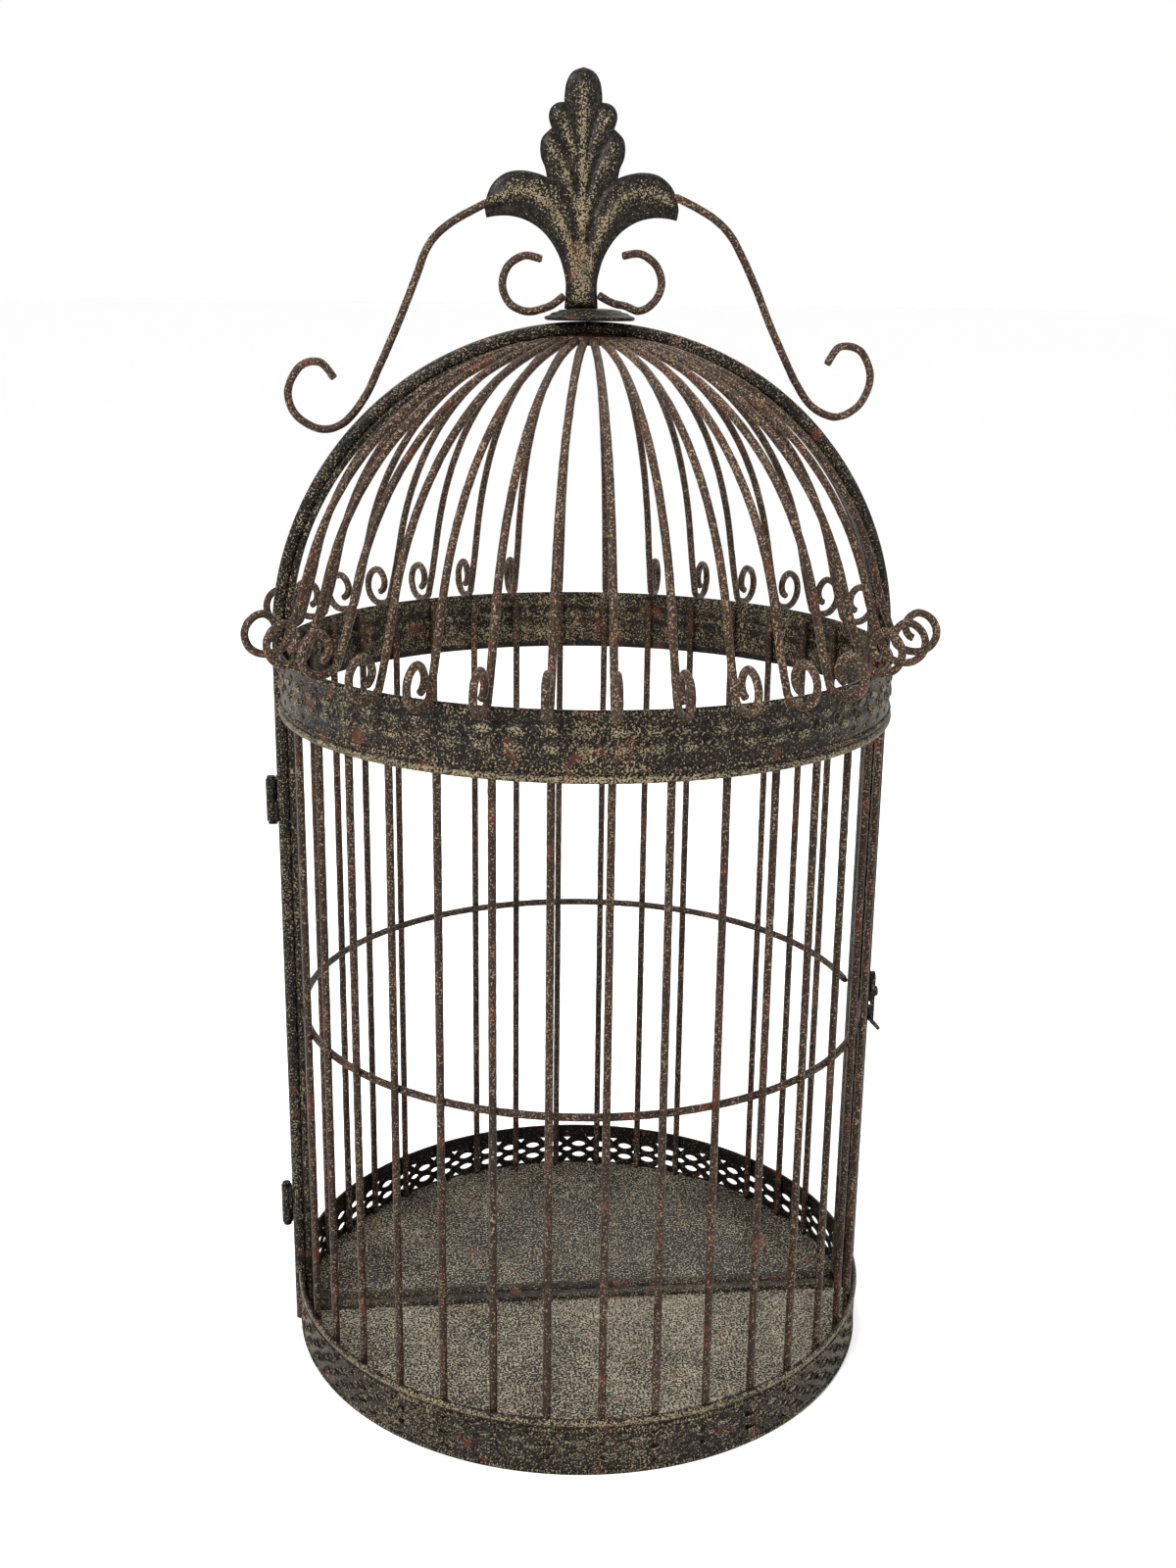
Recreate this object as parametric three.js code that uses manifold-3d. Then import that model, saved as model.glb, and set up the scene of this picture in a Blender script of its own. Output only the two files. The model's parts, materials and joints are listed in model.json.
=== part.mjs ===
// A decorative domed bird cage of wire and sheet metal, split down the middle like a book.
// The rear half carries the crown; the front half swings on two hinges at the left (-X) and a
// swinging hook holds it shut at the right (+X). Millimetres, +Z up, the base stands on z = 0,
// and the halves part at the plane y = 0.
import * as THREE from "three";
import { mergeVertices } from "three/addons/utils/BufferGeometryUtils.js";
import Module from "manifold-3d";

const wasm = await Module();
wasm.setup();

// ---- driving dimensions -------------------------------------------------------------------
const BAND_OUTER_RADIUS = 161; // outer face of the base band and the upper band
const BAND_SHEET = 0.9; // thickness of the embossed sheet
const BASE_BAND_HEIGHT = 32;
const UPPER_BAND_HEIGHT = 34;
const RIM_HEIGHT = 4.5; // the rolled edge of each band
const RIM_BULGE = 1.3; // how far the rolled edge stands out
const WALL_HEIGHT = 396; // floor to the top of the upper band, where the dome springs

const WIRE = 4; // diameter of bars, ribs, hoops and scrolls
const RIB_STEP_DEG = 10;
const RIBS_EACH_SIDE = 7; // ribs either side of a half's middle one
const RIB_CLEARANCE = 0.34; // between neighbouring ribs where they gather round the hub
const DOME_INSET = 4; // the ribs' centre line inside the bands' outer face
const HOOP_HEIGHT = 194.6;
const HOOP_WELD = 0.4; // how far the hoop sinks into the bars
const BAR_TOP_INSET = 4; // the bars end this far below the upper band's top edge

const FRAME_OVERHANG = 3.5; // how far the D frame stands out past the bands
const FRAME_FACE = 10; // width of its section, seen from the front
const FRAME_DEPTH = 8; // along y
const THRESHOLD_HEIGHT = 7;
const FLOOR_SHEET = 1.5;
const FLOOR_TOP = 4.8;

const CURL_RADIUS = 10; // loop at the foot of each rib
const CURL_END_RADIUS = 3.4;
const CURL_TURN_DEG = 340; // from the bottom of the loop, up round the outside and in again
const CURL_DIP = 1.4; // bottom of the loop below the upper band's top edge
const FRONT_CURL_LIFT = 7; // the front curls nearest the stiles sit this much higher
const LIFTED_FROM_DEG = 45; // and these are the ones this far from the middle
const FLARE_START_DEG = 14; // elevation on the dome where a rib leaves it
const SHOULDER_LEAN = 0.12; // how much a rib leans out as it reaches the band's edge, per unit of drop
const CURL_SWEEP = 0.3; // how far out a rib swings before it turns into its loop, per loop radius
const FRONT_GRILLE_TURN_DEG = -1.2; // the front half's wires are set a little to the left

const CROWN_RADIUS = 23;
const CROWN_THICKNESS = 6;
// Crown outline from the middle of its underside to the middle of its top, as shares of its radius
// and of its thickness.
const CROWN_STEPS = [[0, 0], [0.8, 0], [1, 0.35], [0.75, 0.8], [0.35, 1], [0, 1]];
const LEAF_THICKNESS = 4;
const FINIAL_OFFSET = -4; // the leaf stands a little left of the middle

const PIN_RADIUS = 1.5;
const PIN_CLEARANCE = 0.12;
const PIN_HEAD_LIP = 0.8; // how far a pin's head stands out past the pin
const PIN_HEAD_HEIGHT = 1.4;
const KNUCKLE_WALL = 1.38;
const BARREL_LENGTH = 23;
const BARREL_STANDOFF = 0.2; // between the barrel and the hinge leaves' inner face
const HINGE_LEAF_SHEET = 1.2;
const HINGE_LEAF_START = 1; // a leaf's near edge from the split plane
const HINGE_LEAF_INSET = 0.5; // and its far edge inside the frame's back
const NECK_START = 0.8; // the neck from knuckle to leaf, from the split plane
const NECK_BORE_WALL = 0.3; // metal left between the bore and the neck's end
const UPPER_HINGE_HEIGHT = 311;
const LOWER_HINGE_HEIGHT = 70.5;

const LATCH_HEIGHT = 193;
const LATCH_SHEET = 2;
const LATCH_WIDTH = 7;
const LATCH_LENGTH = 18; // pivot to the start of the turned-out tail
const LATCH_RISE = 8.5; // pivot to the middle of the rounded top
const LATCH_TAIL = 7;
const LATCH_TAIL_ANGLE = 0.75; // the tail turns outward by this many radians
const LATCH_TAIL_WELD = 1.2; // how far the tail runs back up into the lever
const LATCH_STANDOFF = 0.8; // lever to stile
const LATCH_RIVET_RADIUS = 1.8;
const LATCH_RIVET_CLEARANCE = 0.1;
const RIVET_HEAD_RADIUS = 3.4;
const KEEPER_RADIUS = 1.5;
const KEEPER_HEAD_RADIUS = 2.4;
const HEAD_SHOULDER = 1.6; // height of a stud head's sloping side
const HEAD_HEIGHT = 2.2;
const HEAD_TAPER = 0.8; // radius at the top of that side, per head radius

const LEFT_SCROLL_STANDOFF = 2.2; // from the arch to the nearest part of each S scroll
const RIGHT_SCROLL_STANDOFF = 3.8;
const SCROLL_TIP_GAP = 1; // from the leaf's arm to the end of an S scroll

const GAP = 0.3; // between any two pieces that touch
const SPLIT_HALF_GAP = 0.3; // each half's frame stands this far from the split plane

const BAND_FACETS = 72; // round a whole band
const DISC_FACETS = 36;
const STUD_FACETS = 16;
const BAR_SIDES = 8;
const HOOP_SIDES = 6;
const SCROLL_SIDES = 6;
const RIB_SIDES = 5;
const SCROLL_STEPS = 26;

// ---- sizes that follow ----------------------------------------------------------------------
const WIRE_RADIUS = WIRE / 2;
const BAND_INNER_RADIUS = BAND_OUTER_RADIUS - BAND_SHEET;
const DOME_RADIUS = BAND_OUTER_RADIUS - DOME_INSET;
const FRAME_OUTER_RADIUS = BAND_OUTER_RADIUS + FRAME_OVERHANG; // half width of the D frame
const FACET_LOSS = BAND_INNER_RADIUS * (1 - Math.cos(Math.PI / BAND_FACETS));
const BAR_CIRCLE = BAND_INNER_RADIUS - FACET_LOSS - GAP - WIRE_RADIUS;
const HOOP_CIRCLE = BAR_CIRCLE - WIRE + HOOP_WELD;
const FRAME_BACK = SPLIT_HALF_GAP + FRAME_DEPTH;
const HALF_START = FRAME_BACK + GAP; // everything behind the frame starts here
const FRAME_MIDDLE = SPLIT_HALF_GAP + FRAME_DEPTH / 2;
const HALF_RIB_STEP = THREE.MathUtils.degToRad(RIB_STEP_DEG) / 2;
const SIDE_BY_SIDE = (WIRE + RIB_CLEARANCE) / (2 * Math.sin(HALF_RIB_STEP));
// The rib next to each half's outermost one also reaches the hub; only the outermost ends at the frame.
const NEXT_RIB_DEG = 90 - (RIBS_EACH_SIDE - 1) * RIB_STEP_DEG - Math.abs(FRONT_GRILLE_TURN_DEG);
const NEXT_RIB_START = (HALF_START + WIRE_RADIUS) / Math.sin(THREE.MathUtils.degToRad(NEXT_RIB_DEG));
const RIB_START = Math.max(SIDE_BY_SIDE, NEXT_RIB_START);
const HUB_RADIUS = RIB_START - 2 * GAP; // half disc that gathers the ribs under the crown
const ARCH_TOP = WALL_HEIGHT + FRAME_OUTER_RADIUS;
const CURL_CENTRE = BAND_OUTER_RADIUS + WIRE_RADIUS + CURL_RADIUS;
const CROWN_UNDERSIDE = ARCH_TOP + GAP;
const CROWN_TOP = CROWN_UNDERSIDE + CROWN_THICKNESS;
const LEAF_FOOT = CROWN_TOP + GAP;
const BORE_RADIUS = PIN_RADIUS + PIN_CLEARANCE;
const KNUCKLE_RADIUS = BORE_RADIUS + KNUCKLE_WALL;
const HINGE_AXIS_X = -(FRAME_OUTER_RADIUS + GAP + BARREL_STANDOFF + KNUCKLE_RADIUS);
const LATCH_INNER_FACE = FRAME_OUTER_RADIUS + LATCH_STANDOFF;
const LATCH_OUTER_FACE = LATCH_INNER_FACE + LATCH_SHEET;
const KEEPER_REACH = 2 * FRAME_MIDDLE; // latch pivot to keeper, across the split

const IRON = new THREE.MeshStandardMaterial({ color: 0x3a332c, roughness: 0.75, metalness: 0.4 });
const PLATE = new THREE.MeshStandardMaterial({ color: 0x8a8268, roughness: 0.8, metalness: 0.3 });
const WIRE_PAINT = new THREE.MeshStandardMaterial({ color: 0x3b2b2a, roughness: 0.7, metalness: 0.4 });

// ---- joining and cutting ----------------------------------------------------------------------
function solid(geometry) {
  const bare = geometry.index ? geometry.toNonIndexed() : geometry.clone();
  const points = new THREE.BufferGeometry().setAttribute("position", bare.getAttribute("position"));
  const merged = mergeVertices(points, 1e-3);
  return new wasm.Manifold(
    new wasm.Mesh({
      numProp: 3,
      vertProperties: merged.attributes.position.array,
      triVerts: new Uint32Array(merged.index.array),
    }),
  );
}

function geometryOf(manifold) {
  const mesh = manifold.getMesh();
  const geometry = new THREE.BufferGeometry();
  geometry.setAttribute("position", new THREE.BufferAttribute(mesh.vertProperties, 3));
  geometry.setIndex(new THREE.BufferAttribute(mesh.triVerts, 1));
  return geometry;
}

function named(name, geometry, material = IRON) {
  const mesh = new THREE.Mesh(geometry, material);
  mesh.name = name;
  return mesh;
}

function box(x0, x1, y0, y1, z0, z1) {
  const geometry = new THREE.BoxGeometry(x1 - x0, y1 - y0, z1 - z0);
  return geometry.translate((x0 + x1) / 2, (y0 + y1) / 2, (z0 + z1) / 2);
}

// The space of one half, behind its frame.
function behindFrame() {
  const reach = 2 * FRAME_OUTER_RADIUS;
  return solid(box(-reach, reach, HALF_START, reach, -reach, 5 * reach));
}

// A closed ring turned about the z axis from its (radius, z) outline, cut to one half.
function halfRing(outline) {
  const profile = outline.map(([radius, z]) => new THREE.Vector2(radius, z));
  profile.push(profile[0].clone());
  const ring = new THREE.LatheGeometry(profile, BAND_FACETS).rotateX(Math.PI / 2);
  return solid(ring).intersect(behindFrame());
}

// ---- wires --------------------------------------------------------------------------------
// A route through given points, with one step of the sweep on each point.
class Route extends THREE.Curve {
  constructor(points) {
    super();
    this.points = points;
  }

  getPoint(t) {
    const last = this.points.length - 1;
    const before = Math.min(Math.floor(t * last), last - 1);
    return this.points[before].clone().lerp(this.points[before + 1], t * last - before);
  }

  getPointAt(u) {
    return this.getPoint(u);
  }

  getTangentAt(u) {
    const last = this.points.length - 1;
    const here = Math.round(u * last);
    const next = this.points[Math.min(here + 1, last)];
    const previous = this.points[Math.max(here - 1, 0)];
    return next.clone().sub(previous).normalize();
  }
}

function wireAlong(points, sides) {
  const section = new THREE.Shape();
  section.absarc(0, 0, WIRE_RADIUS, 0, 2 * Math.PI);
  const outline = new THREE.Shape(section.getSpacedPoints(sides).slice(0, sides));
  return new THREE.ExtrudeGeometry(outline, {
    steps: points.length - 1,
    extrudePath: new Route(points),
  });
}

// ---- one half --------------------------------------------------------------------------------
function frameGeometry() {
  const outer = new THREE.Shape();
  outer.moveTo(-FRAME_OUTER_RADIUS, 0);
  outer.lineTo(FRAME_OUTER_RADIUS, 0);
  outer.absarc(0, WALL_HEIGHT, FRAME_OUTER_RADIUS, 0, Math.PI);
  outer.closePath();
  const inside = FRAME_OUTER_RADIUS - FRAME_FACE;
  const opening = new THREE.Path();
  opening.moveTo(-inside, THRESHOLD_HEIGHT);
  opening.lineTo(inside, THRESHOLD_HEIGHT);
  opening.absarc(0, WALL_HEIGHT, inside, 0, Math.PI);
  opening.closePath();
  outer.holes.push(opening);
  const plate = new THREE.ExtrudeGeometry(outer, {
    depth: FRAME_DEPTH,
    bevelEnabled: false,
    curveSegments: 20,
  });
  return plate.rotateX(Math.PI / 2).translate(0, FRAME_BACK, 0);
}

function floorGeometry() {
  const edge = BAND_INNER_RADIUS - FACET_LOSS - GAP;
  const bottom = FLOOR_TOP - FLOOR_SHEET;
  const disc = new THREE.CylinderGeometry(edge, edge, FLOOR_SHEET, BAND_FACETS).rotateX(Math.PI / 2);
  return geometryOf(solid(disc.translate(0, 0, bottom + FLOOR_SHEET / 2)).intersect(behindFrame()));
}

// A band between two heights, its rolled edge at the top or at the bottom.
function bandGeometry(bottom, top, rimAtTop) {
  const rimEdge = rimAtTop ? top : bottom;
  const inward = rimAtTop ? -1 : 1;
  const bulge = BAND_OUTER_RADIUS + RIM_BULGE;
  const rim = [
    [BAND_OUTER_RADIUS, rimEdge],
    [bulge, rimEdge + inward * RIM_HEIGHT * 0.25],
    [bulge, rimEdge + inward * RIM_HEIGHT * 0.75],
    [BAND_OUTER_RADIUS, rimEdge + inward * RIM_HEIGHT],
  ];
  const otherEdge = rimAtTop ? bottom : top;
  const outline = [
    [BAND_INNER_RADIUS, otherEdge],
    [BAND_INNER_RADIUS, rimEdge],
    ...rim,
    [BAND_OUTER_RADIUS, otherEdge],
  ];
  if (rimAtTop) outline.reverse();
  return geometryOf(halfRing(outline));
}

// Upright bars welded to the outside of a hoop.
function grilleGeometry(turn) {
  const foot = FLOOR_TOP + GAP;
  const height = WALL_HEIGHT - BAR_TOP_INSET - foot;
  const hoop = [];
  for (let i = 0; i < HOOP_SIDES; i++) {
    const angle = (i * 2 * Math.PI) / HOOP_SIDES;
    hoop.push([HOOP_CIRCLE + WIRE_RADIUS * Math.cos(angle), HOOP_HEIGHT + WIRE_RADIUS * Math.sin(angle)]);
  }
  let grille = halfRing(hoop);
  for (const angle of wireAngles(turn)) {
    const bar = new THREE.CylinderGeometry(WIRE_RADIUS, WIRE_RADIUS, height, BAR_SIDES);
    const out = BAR_CIRCLE * Math.cos(angle);
    const back = BAR_CIRCLE * Math.sin(angle);
    bar.rotateX(Math.PI / 2).translate(out, back, foot + height / 2);
    grille = grille.add(solid(bar));
  }
  return geometryOf(grille);
}

function ribHubGeometry() {
  const middle = WALL_HEIGHT + Math.sqrt(DOME_RADIUS ** 2 - HUB_RADIUS ** 2);
  const disc = new THREE.CylinderGeometry(HUB_RADIUS, HUB_RADIUS, WIRE, DISC_FACETS).rotateX(Math.PI / 2);
  return geometryOf(solid(disc.translate(0, 0, middle)).intersect(behindFrame()));
}

// Directions of the bars and ribs of one half, from the right (+X) round to the left, turned
// by a few degrees at most.
function wireAngles(turn) {
  const angles = [];
  for (let i = -RIBS_EACH_SIDE; i <= RIBS_EACH_SIDE; i++) {
    angles.push(Math.PI / 2 + THREE.MathUtils.degToRad(i * RIB_STEP_DEG + turn));
  }
  return angles;
}

// A rib in its own upright plane, as (distance from the axis, height). It leaves the dome, passes
// over the upper band's edge and curls up and round.
function ribProfile(start, lift) {
  const points = [];
  const flare = THREE.MathUtils.degToRad(FLARE_START_DEG);
  const top = Math.acos(start / DOME_RADIUS);
  const domeSteps = 6;
  for (let i = 0; i <= domeSteps; i++) {
    const rise = top + ((flare - top) * i) / domeSteps;
    points.push([DOME_RADIUS * Math.cos(rise), WALL_HEIGHT + DOME_RADIUS * Math.sin(rise)]);
  }
  const [flareOut, flareHeight] = points[domeSteps];
  const shoulder = [BAND_OUTER_RADIUS + WIRE_RADIUS, WALL_HEIGHT + WIRE_RADIUS + GAP + lift];
  const bottom = [CURL_CENTRE, WALL_HEIGHT - CURL_DIP + lift];
  const drop = flareHeight - shoulder[1];
  const bend = new THREE.CubicBezierCurve(
    new THREE.Vector2(flareOut, flareHeight),
    new THREE.Vector2(flareOut + (Math.sin(flare) * drop) / 3, flareHeight - (Math.cos(flare) * drop) / 3),
    new THREE.Vector2(shoulder[0] - drop * SHOULDER_LEAN, shoulder[1] + drop / 3),
    new THREE.Vector2(...shoulder),
  );
  const sweep = new THREE.QuadraticBezierCurve(
    new THREE.Vector2(...shoulder),
    new THREE.Vector2(shoulder[0] + CURL_RADIUS * CURL_SWEEP, bottom[1]),
    new THREE.Vector2(...bottom),
  );
  const nearMiddle = 0.45; // one point on the bend is enough, a little before its middle
  const bendPoints = [bend.getPoint(nearMiddle), bend.getPoint(1)];
  for (const point of [...bendPoints, sweep.getPoint(0.5), sweep.getPoint(1)]) {
    points.push([point.x, point.y]);
  }
  const centre = bottom[1] + CURL_RADIUS;
  const curlSteps = 9;
  const fullTurn = 180; // the loop keeps its size this far round, then winds in
  for (let i = 1; i <= curlSteps; i++) {
    const turned = (CURL_TURN_DEG * i) / curlSteps;
    const wound = Math.max(0, (turned - fullTurn) / (CURL_TURN_DEG - fullTurn));
    const radius = CURL_RADIUS + (CURL_END_RADIUS - CURL_RADIUS) * Math.sin((wound * Math.PI) / 2);
    const angle = THREE.MathUtils.degToRad(turned - 90);
    points.push([CURL_CENTRE + radius * Math.cos(angle), centre + radius * Math.sin(angle)]);
  }
  return points;
}

function ribGeometry(angle, lift) {
  const besideFrame = (HALF_START + WIRE_RADIUS) / Math.sin(angle);
  const start = Math.max(RIB_START, besideFrame);
  const points = ribProfile(start, lift).map(
    ([out, z]) => new THREE.Vector3(out * Math.cos(angle), out * Math.sin(angle), z),
  );
  return wireAlong(points, RIB_SIDES);
}

function half(side, turn, sideLift) {
  const group = new THREE.Group();
  group.add(named(`${side}_frame`, frameGeometry()));
  group.add(named(`${side}_floor`, floorGeometry(), PLATE));
  group.add(named(`${side}_base_band`, bandGeometry(0, BASE_BAND_HEIGHT, true)));
  const upperBottom = WALL_HEIGHT - UPPER_BAND_HEIGHT;
  group.add(named(`${side}_upper_band`, bandGeometry(upperBottom, WALL_HEIGHT, false)));
  group.add(named(`${side}_bar_grille`, grilleGeometry(turn)));
  group.add(named(`${side}_rib_hub`, ribHubGeometry()));
  const lifted = THREE.MathUtils.degToRad(LIFTED_FROM_DEG);
  wireAngles(turn).forEach((angle, i) => {
    const number = String(i + 1).padStart(2, "0");
    const lift = Math.abs(angle - Math.PI / 2) > lifted ? sideLift : 0;
    group.add(named(`${side}_rib_${number}`, ribGeometry(angle, lift), WIRE_PAINT));
  });
  return group;
}

// ---- crown ---------------------------------------------------------------------------------
function crownDisc() {
  const profile = CROWN_STEPS.map(
    ([out, up]) => new THREE.Vector2(CROWN_RADIUS * out, CROWN_UNDERSIDE + CROWN_THICKNESS * up),
  );
  return named("crown_disc", new THREE.LatheGeometry(profile, DISC_FACETS).rotateX(Math.PI / 2));
}

// The leaf's right-hand outline from its foot to its tip, as (half width, height above its foot):
// the stem and the underside of the arm, the arm's end and top, then the three lobes.
const LEAF_OUTLINE = [
  ...[[8.3, 0], [7.9, 10.8], [9.1, 17.9], [11.5, 25], [15.8, 32.2], [21.3, 37.9], [28.5, 42]],
  ...[[36.3, 43.8], [43.4, 43.6], [47.9, 42.7]],
  ...[[48.7, 48.3], [46.8, 55.4], [43.5, 60.4], [37.7, 64.3], [30.3, 65.4], [23, 64.3], [17.8, 62.5]],
  ...[[18.8, 67], [20.7, 71.5], [21.2, 76.8], [20, 81.3], [15.6, 85.5]],
  ...[[17, 90.2], [16.2, 94.3], [13.3, 97], [9.4, 97.7]],
  ...[[9.2, 102], [8.2, 107.2], [5.3, 111.7]],
];
const LEAF_HEIGHT = 113.8;
const ARM_TIP = LEAF_OUTLINE[10]; // outermost point of an arm

function finialLeaf() {
  const right = LEAF_OUTLINE.map(([x, z]) => new THREE.Vector2(x, z));
  const left = LEAF_OUTLINE.map(([x, z]) => new THREE.Vector2(-x, z)).reverse();
  const outline = new THREE.Shape([...right, new THREE.Vector2(0, LEAF_HEIGHT), ...left]);
  const leaf = new THREE.ExtrudeGeometry(outline, { depth: LEAF_THICKNESS, bevelEnabled: false });
  leaf.rotateX(Math.PI / 2).translate(FINIAL_OFFSET, FRAME_MIDDLE + LEAF_THICKNESS / 2, LEAF_FOOT);
  return named("finial_leaf", leaf);
}

// Hand-bent S scrolls from the leaf's arms down to the arch: points on their centre lines as
// (x, height above the arch's centre), the number of the point nearest the arch, that point's
// standoff, and how far above the arm's tip the wire ends.
const S_SCROLLS = {
  left_s_scroll: {
    points: [
      ...[[-55.5, 220], [-70, 211], [-81, 200], [-88, 183], [-97, 161.5], [-106, 142], [-114, 126]],
      ...[[-125, 113], [-137, 110], [-149, 117], [-152.5, 129], [-146, 141], [-136, 143], [-129, 135]],
    ],
    seat: 7,
    standoff: LEFT_SCROLL_STANDOFF,
    tipRise: 0.6,
  },
  right_s_scroll: {
    points: [
      ...[[47.5, 224], [60, 217], [71, 208], [79, 195], [86, 181], [93.5, 164], [102, 147], [109, 134]],
      ...[[118, 122.5], [131, 117.5], [143, 124], [148, 138], [142, 151], [131, 153], [124.5, 144]],
    ],
    seat: 8,
    standoff: RIGHT_SCROLL_STANDOFF,
    tipRise: 4.6,
  },
};

// C scrolls beside the leaf's stem, as (distance from the leaf's middle, height above the crown).
const C_SCROLLS = {
  left_c_scroll: [
    ...[[-20, 23.7], [-29, 25.2], [-37, 20.2], [-40, 11.2], [-36.5, 2.2], [-28, -1.8], [-20, -0.6]],
    ...[[-14, 2], [-10.6, 4.7]],
  ],
  right_c_scroll: [
    ...[[20.6, 25.7], [30, 26.8], [38, 21.2], [41, 12.2], [37.5, 3.7], [30, -1], [22.5, 1.4]],
    ...[[16, 2.8], [11, 5.2]],
  ],
};

function scrollWire(name, bends) {
  const centreLine = bends.map(({ x, y }) => new THREE.Vector3(x, FRAME_MIDDLE, y));
  const smooth = new THREE.CatmullRomCurve3(centreLine, false, "centripetal");
  return named(name, wireAlong(smooth.getSpacedPoints(SCROLL_STEPS), SCROLL_SIDES), WIRE_PAINT);
}

// The drawn scroll is turned and scaled so that one end meets the arm and its seat meets the arch.
function sScroll(name) {
  const { points, seat, standoff, tipRise } = S_SCROLLS[name];
  const drawn = points.map(([x, height]) => new THREE.Vector2(x, height));
  const outward = Math.sign(drawn[0].x);
  const tip = new THREE.Vector2(
    FINIAL_OFFSET + outward * (ARM_TIP[0] + WIRE_RADIUS + SCROLL_TIP_GAP),
    LEAF_FOOT + ARM_TIP[1] + tipRise - WALL_HEIGHT,
  );
  const onArch = drawn[seat].clone().setLength(FRAME_OUTER_RADIUS + WIRE_RADIUS + standoff);
  const drawnSpan = drawn[seat].clone().sub(drawn[0]);
  const span = onArch.sub(tip);
  const turn = span.angle() - drawnSpan.angle();
  const scale = span.length() / drawnSpan.length();
  const origin = new THREE.Vector2();
  const bends = drawn.map((point) => {
    const fromTip = point.clone().sub(drawn[0]).rotateAround(origin, turn).multiplyScalar(scale);
    return fromTip.add(tip).add(new THREE.Vector2(0, WALL_HEIGHT));
  });
  return scrollWire(name, bends);
}

function cScroll(name) {
  const bends = C_SCROLLS[name].map(
    ([x, height]) => new THREE.Vector2(FINIAL_OFFSET + x, CROWN_TOP + height),
  );
  return scrollWire(name, bends);
}

// ---- hinges ----------------------------------------------------------------------------------
function knuckle(bottom, top) {
  const profile = [
    [BORE_RADIUS, bottom],
    [KNUCKLE_RADIUS, bottom],
    [KNUCKLE_RADIUS, top],
    [BORE_RADIUS, top],
    [BORE_RADIUS, bottom],
  ].map(([radius, z]) => new THREE.Vector2(radius, z));
  const tube = new THREE.LatheGeometry(profile, STUD_FACETS).rotateX(Math.PI / 2);
  return solid(tube.translate(HINGE_AXIS_X, 0, 0));
}

// A hinge leaf lies on the outer edge of a stile; side is +1 on the rear half and -1 on the front.
function hingeLeaf(name, side, bottom, top, middle) {
  const face = -(FRAME_OUTER_RADIUS + GAP);
  const reach = FRAME_BACK - HINGE_LEAF_INSET;
  const near = side > 0 ? HINGE_LEAF_START : -reach;
  const far = side > 0 ? reach : -HINGE_LEAF_START;
  const plate = box(face - HINGE_LEAF_SHEET, face, near, far, bottom, top);
  const neckNear = side > 0 ? NECK_START : -KNUCKLE_RADIUS;
  const neckFar = side > 0 ? KNUCKLE_RADIUS : -NECK_START;
  const neck = box(HINGE_AXIS_X + BORE_RADIUS + NECK_BORE_WALL, face, neckNear, neckFar, bottom, top);
  const joined = solid(neck).subtract(boreAt(middle)).add(knuckle(bottom, top)).add(solid(plate));
  return named(name, geometryOf(joined));
}

function boreAt(middle) {
  const bore = new THREE.CylinderGeometry(BORE_RADIUS, BORE_RADIUS, 2 * BARREL_LENGTH, STUD_FACETS);
  return solid(bore.rotateX(Math.PI / 2).translate(HINGE_AXIS_X, 0, middle));
}

function hingePin(name, middle) {
  const end = BARREL_LENGTH / 2 + GAP;
  const tip = end + PIN_HEAD_HEIGHT;
  const headRadius = PIN_RADIUS + PIN_HEAD_LIP;
  const profile = [
    [0, -tip],
    [headRadius, -tip],
    [headRadius, -end],
    [PIN_RADIUS, -end],
    [PIN_RADIUS, end],
    [headRadius, end],
    [headRadius, tip],
    [0, tip],
  ].map(([radius, z]) => new THREE.Vector2(radius, z));
  const pin = new THREE.LatheGeometry(profile, STUD_FACETS).rotateX(Math.PI / 2);
  return named(name, pin.translate(HINGE_AXIS_X, 0, middle));
}

// One hinge: each leaf holds one of the two knuckles, and frontBelow says which is lower.
function hinge(name, middle, frontBelow) {
  const lower = [middle - BARREL_LENGTH / 2, middle - GAP / 2];
  const upper = [middle + GAP / 2, middle + BARREL_LENGTH / 2];
  const front = frontBelow ? lower : upper;
  const rear = frontBelow ? upper : lower;
  const group = new THREE.Group();
  group.add(hingeLeaf(`${name}_fixed_leaf`, 1, rear[0], rear[1], middle));
  group.add(hingeLeaf(`${name}_moving_leaf`, -1, front[0], front[1], middle));
  group.add(hingePin(`${name}_pin`, middle));
  return group;
}

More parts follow.
